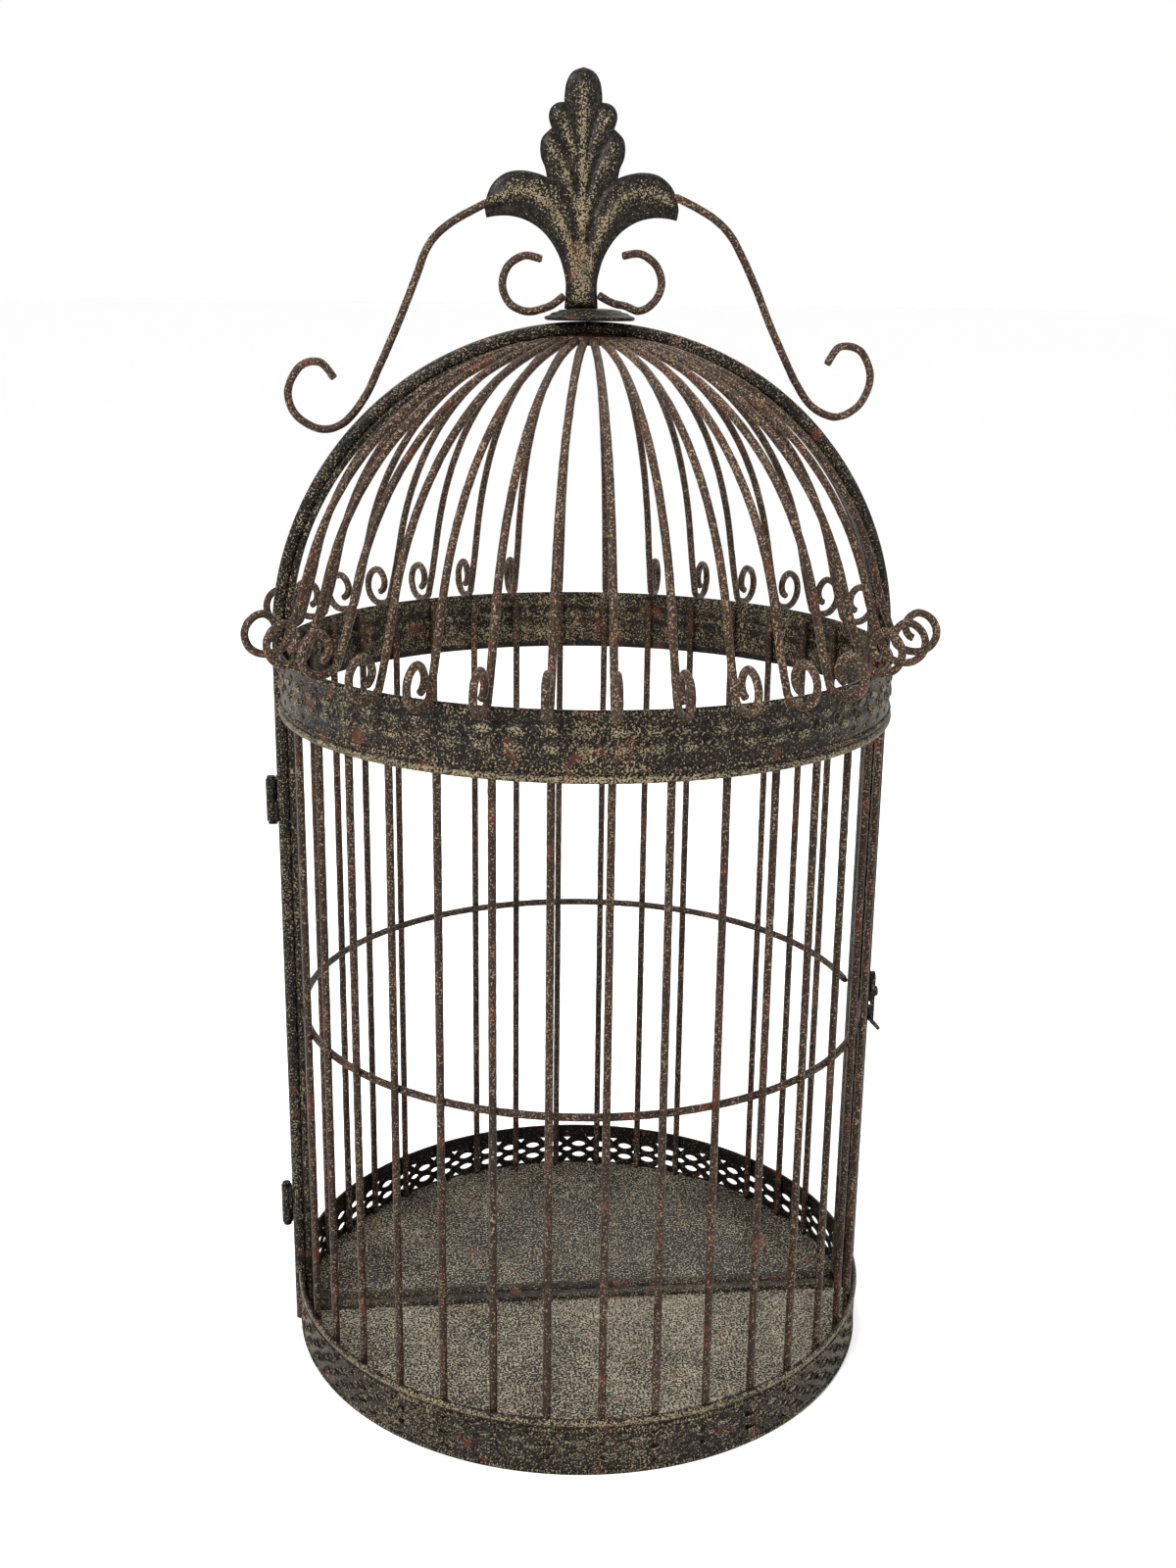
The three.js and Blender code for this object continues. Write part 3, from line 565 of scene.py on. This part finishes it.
# ---- frames --------------------------------------------------------------------------------------
STILE_STEPS = 60
ARCH_STEPS = 120
THRESHOLD_STEPS = 60
BEAD_STEPS = 9
LIP = 1.2 * MM
LIP_STEPS = 5
INNER_CHAMFER = 0.3 * MM
OUTER_CHAMFER = 0.6 * MM
FRAME_BEADS = [  # middle, half width, foot and how far short of the frame's depth it stops
    (6.8 * MM, 3.2 * MM, 5.0 * MM, 0),
    (1.8 * MM, 1.8 * MM, 5.6 * MM, 0.5 * MM),
]


def frame_section():
    """A rolled section with two rounded beads on its face, as (from the inner edge, depth)."""
    depth = FRAME_FAR - FRAME_NEAR
    outline = [(0, INNER_CHAMFER), (INNER_CHAMFER, 0)]
    outline += [(FRAME_FACE - OUTER_CHAMFER, 0), (FRAME_FACE, OUTER_CHAMFER)]
    for middle, half_width, low, short in FRAME_BEADS:
        high = depth - short
        for i in range(BEAD_STEPS + 1):
            turn = math.pi * i / BEAD_STEPS
            outline.append((middle + half_width * math.cos(turn), low + (high - low) * math.sin(turn)))
    return outline


def make_frame(side):
    inner = FRAME_RADIUS - FRAME_FACE
    stile = [Vector((inner, FRAME_NEAR, SPRING_LINE * i / STILE_STEPS)) for i in range(STILE_STEPS)]
    arch = []
    for i in range(ARCH_STEPS + 1):
        angle = math.pi * i / ARCH_STEPS
        arch.append(Vector((inner * math.cos(angle), FRAME_NEAR, SPRING_LINE + inner * math.sin(angle))))
    far_stile = [Vector((-point.x, point.y, point.z)) for point in reversed(stile)]

    def across(direction):
        out = Vector((direction.z, 0, -direction.x))
        return out, Vector((0, 1, 0))

    shape = Shape()
    shape.add(*sweep(stile + arch + far_stile, frame_section(), across))
    width = FRAME_FAR - FRAME_NEAR
    shoulder = THRESHOLD_HEIGHT - LIP
    section = [(0, 0), (width, 0), (width, shoulder)]
    for i in range(LIP_STEPS + 1):
        turn = math.pi / 2 * i / LIP_STEPS
        section.append((width - LIP + LIP * math.cos(turn), shoulder + LIP * math.sin(turn)))
    section.extend([(LIP, THRESHOLD_HEIGHT), (0, shoulder)])
    steps = THRESHOLD_STEPS
    bar = [Vector((inner * (2 * i / steps - 1), FRAME_NEAR, 0)) for i in range(steps + 1)]
    shape.add(*sweep(bar, section, lambda direction: (Vector((0, 1, 0)), Vector((0, 0, 1)))))
    piece = shape.turned(SIDES[side]).piece(side + "_rolled_frame", side + "_half", "frame_iron")
    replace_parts(piece, side + "_frame")


# ---- bands -----------------------------------------------------------------------------------------
# All four bands carry one pattern. It is punched right through the base bands and only pressed into
# the upper ones.
# Heights are measured from the edge away from the rim. All in millimetres.
OVAL_HEIGHTS = (10.4, 18.2)
LOZENGE_HEIGHT = 14.3
DROP_HEIGHTS = (6.1, 22.5)
WEDGE_FEET = ((4.9, 3.0), (23.7, -3.0))  # each wedge's foot and height
WEDGE_HALF_WIDTH = 2.9
OVAL_HOLE = (4.5, 2.0, 1.7)  # half width, half height, and how round it is, 2 being an ellipse
LOZENGE_HOLE = (3.1, 1.7, 1.35)
OVAL_PRESSED = (0.9, 4.6, 2.2, 1.7)  # how far out, then as for a hole
RING_PRESSED = (0.5, 3.4, 3.8, 1.5)
EYE_PRESSED = (-1.3, 1.7, 2.3, 1.5)
DROP_PRESSED = (-0.5, 2.7, 1.5, 1.4)
PRESSED_EDGE = 0.45  # how softly a pressed shape starts, as a share of its size
CELLS = 31  # pattern repeats along half a band
EDGE_STEPS = 5  # along the pierced sheet's border, in each cell
CELL_STEPS = 22
ROW_HEIGHT = 0.75 * MM
BEAD_PITCH = 2.05 * MM
BEAD_HALF_WIDTH = 0.95 * MM
BEAD_HALF_HEIGHT = 1.15 * MM
BEAD_SIDES = 8
BEAD_RINGS = [(1.0, 0.0), (0.75, 0.62)]  # share of the half width, millimetres out
BEAD_TOP = 0.95 * MM
BEAD_INSET = 1.6 * MM  # from the edge away from the rim
RIM_BEAD_INSET = 1.7 * MM  # from the rim
RIM_LAP = RIM_HEIGHT * 0.8  # how far the rolled rim reaches down over the sheet
RIM_ROUND = RIM_HEIGHT * 0.42  # half the height of its roll
RIM_STEPS = 8
RIM_LENGTH_STEPS = 160
SHARP = math.radians(62)  # edges that turn more than this stay sharp
STRIP_TOLERANCE = 1e-6


def pressed(across, up, size):
    """How far a pressed oval or lozenge moves the sheet at a place across and up from its middle."""
    out, half_width, half_height, power = size
    spread = (abs(across) / (half_width * MM)) ** power + (abs(up) / (half_height * MM)) ** power
    share = max(0, min(1, (1 + PRESSED_EDGE / 2 - spread) / PRESSED_EDGE))
    return out * (share * share * (3 - 2 * share))


def emboss(along, rise, cell):
    """How far the sheet is pressed outwards at a place on the strip, in metres. rise is measured from
    the edge away from the rim. Two ovals stand out in each cell, and between cells a lozenge with a
    raised ring and two small drops are sunk."""
    from_middle = along % cell - cell / 2
    from_joint = cell / 2 - abs(from_middle)
    out = 0
    for height in OVAL_HEIGHTS:
        out += pressed(from_middle, rise - height * MM, OVAL_PRESSED)
    for size in (RING_PRESSED, EYE_PRESSED):
        out += pressed(from_joint, rise - LOZENGE_HEIGHT * MM, size)
    for height in DROP_HEIGHTS:
        out += pressed(from_joint, rise - height * MM, DROP_PRESSED)
    return out * MM


HOLE_STEPS = 14


def oval(x, z, size):
    """The outline of an oval or lozenge hole."""
    half_width, half_height, power = size
    points = []
    for i in range(HOLE_STEPS):
        turn = 2 * math.pi * i / HOLE_STEPS
        across = math.cos(turn)
        rise = math.sin(turn)
        pull = (abs(across) ** power + abs(rise) ** power) ** (-1 / power)
        points.append(Vector((x + half_width * MM * across * pull, z + half_height * MM * rise * pull)))
    return points


def wedge(x, z, half_width, height):
    """A small curved triangle standing on its base, or hanging from it where height is negative."""
    corners = [(-1, 0), (-0.45, 0.12), (0.45, 0.12), (1, 0), (0.45, 0.5), (0, 1), (-0.45, 0.5)]
    points = [Vector((x + half_width * a, z + height * b)) for a, b in corners]
    return points if height > 0 else list(reversed(points))


def band_holes(length):
    """Outlines of one base band's holes on the flat strip."""
    cell = length / CELLS
    holes = []
    for i in range(CELLS):
        for z in OVAL_HEIGHTS:
            holes.append(oval(cell * (i + 0.5), z * MM, OVAL_HOLE))
        if i:
            joint = cell * i
            holes.append(oval(joint, LOZENGE_HEIGHT * MM, LOZENGE_HOLE))
            for foot, height in WEDGE_FEET:
                holes.append(wedge(joint, foot * MM, WEDGE_HALF_WIDTH * MM, height * MM))
    return holes


def inside(point, outline):
    """True if the point lies inside the closed outline."""
    crossings = 0
    for i, a in enumerate(outline):
        b = outline[(i + 1) % len(outline)]
        if (a.y > point.y) != (b.y > point.y):
            crossings += point.x < (b.x - a.x) * (point.y - a.y) / (b.y - a.y) + a.x
    return crossings % 2 == 1


def strip_mesh(length, top, holes):
    """Flat triangles of the strip between its holes."""
    edge_steps = CELLS * EDGE_STEPS
    points = []
    edges = []
    border = [Vector((length * i / edge_steps, 0)) for i in range(edge_steps + 1)]
    border += [Vector((length * i / edge_steps, top)) for i in range(edge_steps, -1, -1)]
    for outline in [border] + holes:
        start = len(points)
        points.extend(outline)
        edges.extend([(start + i, start + (i + 1) % len(outline)) for i in range(len(outline))])
    flat, _, triangles = geometry.delaunay_2d_cdt(points, edges, [], 1, STRIP_TOLERANCE)[:3]
    cell = length / CELLS
    near = {}
    for outline in holes:
        middle = sum(outline, Vector((0, 0))) / len(outline)
        for step in (-1, 0, 1):
            near.setdefault(int(middle.x / cell) + step, []).append(outline)
    faces = []
    for face in triangles:
        middle = sum((flat[index] for index in face), Vector((0, 0))) / len(face)
        if not any(inside(middle, outline) for outline in near.get(int(middle.x / cell), [])):
            faces.append(face)
    return flat, faces


def open_edges(faces):
    """Edges that only one face has, in that face's order."""
    found = {}
    for face in faces:
        for i, a in enumerate(face):
            b = face[(i + 1) % len(face)]
            if (b, a) in found:
                del found[(b, a)]
            else:
                found[(a, b)] = True
    return list(found)


def make_band(side, which, bottom, top, rim_at_top):
    """One half of a band: patterned sheet, two bead rows and a rolled rim."""
    first = math.asin(HALF_START / BAND_RADIUS)
    length = BAND_RADIUS * (math.pi - 2 * first)
    height = top - bottom

    def bent(along, rise, out):
        angle = first + along / BAND_RADIUS
        z = bottom + rise if rim_at_top else top - rise
        radius = BAND_RADIUS + out
        return Vector((radius * math.cos(angle), radius * math.sin(angle), z))

    shape = Shape()
    pierced = which == "base"
    add_sheet = add_pierced_sheet if pierced else add_embossed_sheet
    add_sheet(shape, length, height - RIM_LAP, bent)
    add_beads(shape, length, BEAD_INSET, bent)
    add_beads(shape, length, height - RIM_HEIGHT - RIM_BEAD_INSET, bent)
    add_rim(shape, height, bent, length)
    if not rim_at_top:
        shape.faces = [tuple(reversed(face)) for face in shape.faces]
    name = f"{side}_{which}_band"
    lining = "pierced_band_inside" if pierced else "embossed_band_inside"
    shape.turned(SIDES[side])
    piece = shape.piece(name + "_patterned", side + "_half", "embossed_band", lining=lining)
    piece.data.set_sharp_from_angle(angle=SHARP)
    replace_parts(piece, name)


def add_both_faces(shape, outer, inner, front):
    """A sheet from its outer and inner points and its outer faces, closed along every open edge."""
    count = len(outer)
    start = len(shape.points)
    shape.add(outer + inner, [tuple(face) for face in front])
    hidden = [tuple(count + index for index in reversed(face)) for face in front]
    hidden += [(b, a, count + a, count + b) for a, b in open_edges(front)]
    shape.add([], [tuple(start + index for index in face) for face in hidden], paint=INSIDE)


def add_pierced_sheet(shape, length, field_top, bent):
    """The punched sheet, with a lip pressed up round each hole."""
    holes = band_holes(length)
    flat, front = strip_mesh(length, field_top, holes)
    outer = [bent(point.x, point.y, 0) for point in flat]
    inner = [bent(point.x, point.y, -SHEET) for point in flat]
    add_both_faces(shape, outer, inner, front)
    for outline in holes:
        add_lip(shape, outline, bent)


# A hole's lip in millimetres: away from the hole, and outwards.
LIP_PROFILE = [(-0.05, -0.1), (0.25, 0.42), (0.6, 0.5), (1.0, 0.05)]


def add_lip(shape, outline, bent):
    """A rounded lip pressed up round one hole."""
    middle = sum(outline, Vector((0, 0))) / len(outline)
    count = len(LIP_PROFILE)
    points = []
    for point in outline:
        away = (point - middle).normalized()
        for along, out in LIP_PROFILE:
            moved = point + away * (along * MM)
            points.append(bent(moved.x, moved.y, out * MM))
    faces = []
    for i in range(len(outline)):
        here = i * count
        there = ((i + 1) % len(outline)) * count
        for j in range(count - 1):
            faces.append((here + j, there + j, there + j + 1, here + j + 1))
    shape.add(points, faces)


def add_embossed_sheet(shape, length, field_top, bent):
    """The embossed sheet, the same pattern standing out of its outside and sunk into its inside."""
    columns = CELLS * CELL_STEPS
    rows = round(field_top / ROW_HEIGHT)
    outer = []
    inner = []
    for i in range(columns + 1):
        along = length * i / columns
        for j in range(rows + 1):
            rise = field_top * j / rows
            out = emboss(along, rise, length / CELLS)
            outer.append(bent(along, rise, out))
            inner.append(bent(along, rise, out - SHEET))
    front = []
    for i in range(columns):
        for j in range(rows):
            here = i * (rows + 1) + j
            front.append((here, here + rows + 1, here + rows + 2, here + 1))
    add_both_faces(shape, outer, inner, front)


def add_beads(shape, length, rise, bent):
    """A row of upright oval beads standing out of the sheet."""
    number = int(length / BEAD_PITCH)
    around = BEAD_SIDES
    for i in range(number):
        middle = length * (i + 0.5) / number
        points = []
        for wide, out in BEAD_RINGS:
            for j in range(around):
                turn = 2 * math.pi * j / around
                across = BEAD_HALF_WIDTH * wide * math.cos(turn)
                up = BEAD_HALF_HEIGHT * wide * math.sin(turn)
                points.append(bent(middle + across, rise + up, out * MM))
        points.append(bent(middle, rise, BEAD_TOP))
        faces = []
        for j in range(around):
            k = (j + 1) % around
            faces.append((j, k, around + k, around + j))
            faces.append((around + j, around + k, 2 * around))
        shape.add(points, faces)


def add_rim(shape, height, bent, length):
    """The rolled edge, with a groove below it, closed at the back by the sheet's own thickness."""
    outline = [(height - RIM_LAP, 0), (height - RIM_LAP, -SHEET), (height, -SHEET)]
    middle = height - RIM_ROUND
    for i in range(RIM_STEPS + 1):
        turn = math.pi * i / RIM_STEPS
        rise = middle + RIM_ROUND * math.cos(turn)
        outline.append((rise, RIM_BULGE * math.sin(turn)))
    count = len(outline)
    around = RIM_LENGTH_STEPS
    points = []
    for i in range(around + 1):
        points.extend([bent(length * i / around, rise, out) for rise, out in outline])
    faces = []
    for i in range(around):
        for j in range(count):
            k = (j + 1) % count
            faces.append((i * count + k, i * count + j, (i + 1) * count + j, (i + 1) * count + k))
    faces.append(tuple(range(count)))
    faces.append(tuple(reversed(range(around * count, (around + 1) * count))))
    shape.add(points, faces)


# ---- crown -----------------------------------------------------------------------------------------
SCROLLS = {
    "left_s_scroll": [
        (-50.5, 617.5), (-70, 607), (-81, 596), (-88, 579), (-97, 557.5), (-106, 538), (-114, 522),
        (-125, 509), (-137, 506), (-149, 513), (-152.5, 525), (-146, 537), (-136, 539), (-129, 531),
    ],
    "right_s_scroll": [
        (42.5, 621.5), (60, 613), (71, 604), (79, 591), (86, 577), (93.5, 560), (102, 543), (109, 530),
        (118, 518.5), (131, 513.5), (143, 520), (148, 534), (142, 547), (131, 549), (124.5, 540),
    ],
    "left_c_scroll": [
        (-24, 590.5), (-33, 592), (-41, 587), (-44, 578), (-40.5, 569), (-32, 565), (-24, 566.2),
        (-18, 568.8), (-12.6, 573),
    ],
    "right_c_scroll": [
        (16.6, 592.5), (26, 593.6), (34, 588), (37, 579), (33.5, 570.5), (26, 565.8), (18.5, 568.2),
        (12, 569.6), (4.6, 573.5),
    ],
}


def smooth_route(bends, steps_each=8):
    """Points on a smooth curve through the bends (a centred Catmull-Rom spline)."""
    route = []
    for i in range(len(bends) - 1):
        before = bends[max(i - 1, 0)]
        start = bends[i]
        end = bends[i + 1]
        after = bends[min(i + 2, len(bends) - 1)]
        leave = start + (end - before) / 6
        arrive = end - (after - start) / 6
        part = geometry.interpolate_bezier(start, leave, arrive, end, steps_each + 1)
        route.extend(part[1:] if i else part)
    return route


def make_scroll(name):
    bends = [Vector((x * MM, FRAME_MIDDLE, z * MM)) for x, z in SCROLLS[name]]
    shape = Shape()
    add_wire(shape, smooth_route(bends), Vector((0, 1, 0)), len(name), SCROLL_SIDES)
    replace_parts(shape.piece(name + "_wire", "rear_half", "curl_wire"), name)


# The leaf's right-hand outline from foot to tip, as smooth runs of (half width, height above its
# foot) that meet in sharp notches: stem and arm's underside, arm's end and top, then three lobes.
LEAF_RUNS = [
    [(8.5, -0.6), (7.9, 10.8), (9.1, 17.9), (11.5, 25), (15.8, 32.2), (21.3, 37.9), (28.5, 42),
     (36.3, 43.8), (43.4, 43.6), (47.9, 42.7)],
    [(47.9, 42.7), (48.7, 48.3), (46.8, 55.4), (43.5, 60.4), (37.7, 64.3), (30.3, 65.4),
     (23, 64.3), (17.8, 62.5)],
    [(17.8, 62.5), (18.8, 67), (20.7, 71.5), (21.2, 76.8), (20, 81.3), (15.6, 85.5)],
    [(15.6, 85.5), (17, 90.2), (16.2, 94.3), (13.3, 97), (9.4, 97.7)],
    [(9.4, 97.7), (9.2, 102), (8.2, 107.2), (5.3, 111.7), (0, 113.8)],
]
# Veins that stand up and grooves between the lobes: height, width, then points as above.
LEAF_VEINS = [
    (1.3, 2.0, [(0, 3), (0, 40), (0, 106)]),
    (1.2, 2.1, [(45, 51), (36, 56), (26, 56), (16, 49), (9, 37), (4.5, 22), (3, 4)]),
    (0.9, 1.9, [(17, 77), (10, 68), (4.5, 55), (2, 42)]),
    (0.8, 1.6, [(13, 92), (8, 84), (3, 72), (1, 62)]),
    (-1.5, 1.5, [(17.5, 63), (10.5, 57), (5, 45), (3, 32)]),
    (-1.3, 1.3, [(15.5, 85.5), (9, 76), (4.5, 64), (2.5, 54)]),
    (-1.1, 1.1, [(9.3, 97.5), (5, 89), (2.8, 79), (2, 70)]),
    (-1.2, 1.5, [(46, 46), (36, 49.5), (26, 48), (17, 40), (10.5, 28), (7, 14)]),
]


LEAF_EDGE = 0.5 * MM  # half the leaf's thickness at its edge
LEAF_BODY = 2.0 * MM  # and how much more it has in its middle
LEAF_ROUND = 2.4 * MM  # how far from the edge it swells
VEIN_FADE = 1.0 * MM  # how near the edge the veins run out
LEAF_THINNEST = 0.4 * MM
LEAF_STEP = 1.1 * MM
LEAF_COLUMNS = 46  # either side of the middle
LEAF_ROWS = 104
LEAF_MARGIN = 0.6 * LEAF_STEP  # no inner point lies nearer the outline
LEAF_RUN_STEPS = 5
LEAF_TOLERANCE = 1e-7


def leaf_outline():
    """The whole outline in the leaf's own plane, in metres, anticlockwise from its right foot."""
    right = []
    for run in LEAF_RUNS:
        route = smooth_route([Vector((x * MM, 0, z * MM)) for x, z in run], LEAF_RUN_STEPS)
        right.extend([Vector((point.x, point.z)) for point in (route[1:] if right else route)])
    left = [Vector((-point.x, point.y)) for point in reversed(right[:-1])]
    return right + left


def distance_to(point, line):
    """Shortest distance from a point to a line of points, in the leaf's plane."""
    best = 1.0
    for a, b in zip(line, line[1:]):
        along = b - a
        share = max(0, min(1, (point - a).dot(along) / along.length_squared))
        best = min(best, (point - a - along * share).length)
    return best


def leaf_swell(point, outline, veins):
    """Half the leaf's thickness at a point of its plane."""
    edge = distance_to(point, outline + outline[:1])
    swell = LEAF_EDGE + LEAF_BODY * (1 - math.exp(-edge / LEAF_ROUND))
    fade = 1 - math.exp(-edge / VEIN_FADE)
    for height, width, line in veins:
        away = distance_to(Vector((abs(point.x), point.y)), line)
        swell += fade * height * MM * math.exp(-((away / (width * MM)) ** 2))
    return max(swell, LEAF_THINNEST)


def make_leaf():
    """The finial: a leaf swollen between its edges, with raised veins and sunk grooves, both sides."""
    outline = leaf_outline()
    veins = []
    for height, width, line in LEAF_VEINS:
        veins.append((height, width, [Vector((x * MM, z * MM)) for x, z in line]))
    points = list(outline)
    for column in range(-LEAF_COLUMNS, LEAF_COLUMNS + 1):
        for row in range(1, LEAF_ROWS + 1):
            spot = Vector((column * LEAF_STEP, row * LEAF_STEP))
            if inside(spot, outline) and distance_to(spot, outline) > LEAF_MARGIN:
                points.append(spot)
    count = len(outline)
    edges = [(i, (i + 1) % count) for i in range(count)]
    flat, _, triangles = geometry.delaunay_2d_cdt(points, edges, [], 1, LEAF_TOLERANCE)[:3]
    low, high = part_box("finial_leaf")
    middle = Vector(((low[0] + high[0]) / 2, (low[1] + high[1]) / 2, low[2]))
    swells = [leaf_swell(point, outline, veins) for point in flat]
    near = [middle + Vector((point.x, -swell, point.y)) for point, swell in zip(flat, swells)]
    far = [middle + Vector((point.x, swell, point.y)) for point, swell in zip(flat, swells)]
    total = len(flat)
    faces = [tuple(face) for face in triangles]
    faces += [tuple(total + index for index in reversed(face)) for face in triangles]
    faces += [(b, a, total + a, total + b) for a, b in open_edges(triangles)]
    shape = Shape()
    shape.add(near + far, faces)
    leaf = shape.piece("finial_leaf_veined", "rear_half", "finial_casting")
    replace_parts(leaf, "finial_leaf")


# The turned steps on the crown's top, as shares of its radius and thickness.
CROWN_STEPS = [(0.86, 0.52), (0.84, 0.62), (0.7, 0.74), (0.68, 0.84), (0.5, 0.95), (0.3, 1.0), (0, 1.0)]

CROWN_FOOT = 0.8  # the flat underside's share of the radius
CROWN_RIM_HEIGHT = 1.2 * MM
CROWN_RIM_ROUND = 1.1 * MM
CROWN_RIM_SHARE = 0.07  # of the radius, that the rounded rim takes up
CROWN_RIM_STEPS = 12
CROWN_SIDES = 96


def make_crown_disc():
    """A spun disc: a raised lens with turned steps above and below its rim."""
    low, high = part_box("crown_disc")
    radius = high[0]
    rim = low[2] + CROWN_RIM_HEIGHT
    profile = [(0, low[2]), (radius * CROWN_FOOT, low[2])]
    for i in range(CROWN_RIM_STEPS + 1):
        turn = math.pi * i / CROWN_RIM_STEPS - math.pi / 2
        share = 1 - CROWN_RIM_SHARE + CROWN_RIM_SHARE * math.cos(turn)
        profile.append((radius * share, rim + CROWN_RIM_ROUND * math.sin(turn)))
    for share, rise in CROWN_STEPS:
        profile.append((radius * share, low[2] + (high[2] - low[2]) * rise))
    around = CROWN_SIDES
    shape = Shape()
    rings = profile[1:-1]
    points = [Vector((0, 0, profile[0][1]))]
    for i in range(around):
        turn = 2 * math.pi * i / around
        points.extend([Vector((out * math.cos(turn), out * math.sin(turn), z)) for out, z in rings])
    points.append(Vector((0, 0, profile[-1][1])))
    faces = []
    count = len(rings)
    for i in range(around):
        here = 1 + i * count
        there = 1 + ((i + 1) % around) * count
        faces.append((0, there, here))
        for j in range(count - 1):
            faces.append((here + j, there + j, there + j + 1, here + j + 1))
        faces.append((here + count - 1, there + count - 1, len(points) - 1))
    shape.add(points, faces)
    disc = shape.piece("crown_disc_spun", "rear_half", "finial_casting")
    disc.data.materials[0] = MATERIALS["crown_iron"]
    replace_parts(disc, "crown_disc")


FITTING_BEVEL = 0.35 * MM
BEVEL_SEGMENTS = 2


def dress_cad_nodes():
    """Every CAD node gets its paint, and the small fittings, which keep their CAD shape, also get
    softened edges."""
    slots = {entry["node"]: entry["material_slot"] for entry in frame["record"]["subparts"]}
    paints = {**slots, "rear_floor": "rear_floor_plate"}  # the rear plate is darker
    for node, made in frame["nodes"].items():
        made.data.materials.clear()
        made.data.materials.append(MATERIALS[paints[node]])
        if slots[node] == "fittings_iron":
            bevel = made.modifiers.new("edge", "BEVEL")
            bevel.width = FITTING_BEVEL
            bevel.segments = BEVEL_SEGMENTS
            bevel.limit_method = "ANGLE"


MATERIALS = make_materials()
make_camera()
make_studio()
dress_cad_nodes()
for half_side in SIDES:
    make_frame(half_side)
    make_band(half_side, "base", 0, BASE_TOP, True)
    make_band(half_side, "upper", UPPER_BOTTOM, UPPER_TOP, False)
    make_hoop(half_side)
    for rib_number, rib_angle in enumerate(directions(half_side), start=1):
        make_bar(half_side, rib_number, rib_angle)
        make_rib(half_side, rib_number, rib_angle)
for scroll_name in SCROLLS:
    make_scroll(scroll_name)
make_leaf()
make_crown_disc()

boxes = [[list(point) for point in box] for box in (cad_bounds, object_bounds())]
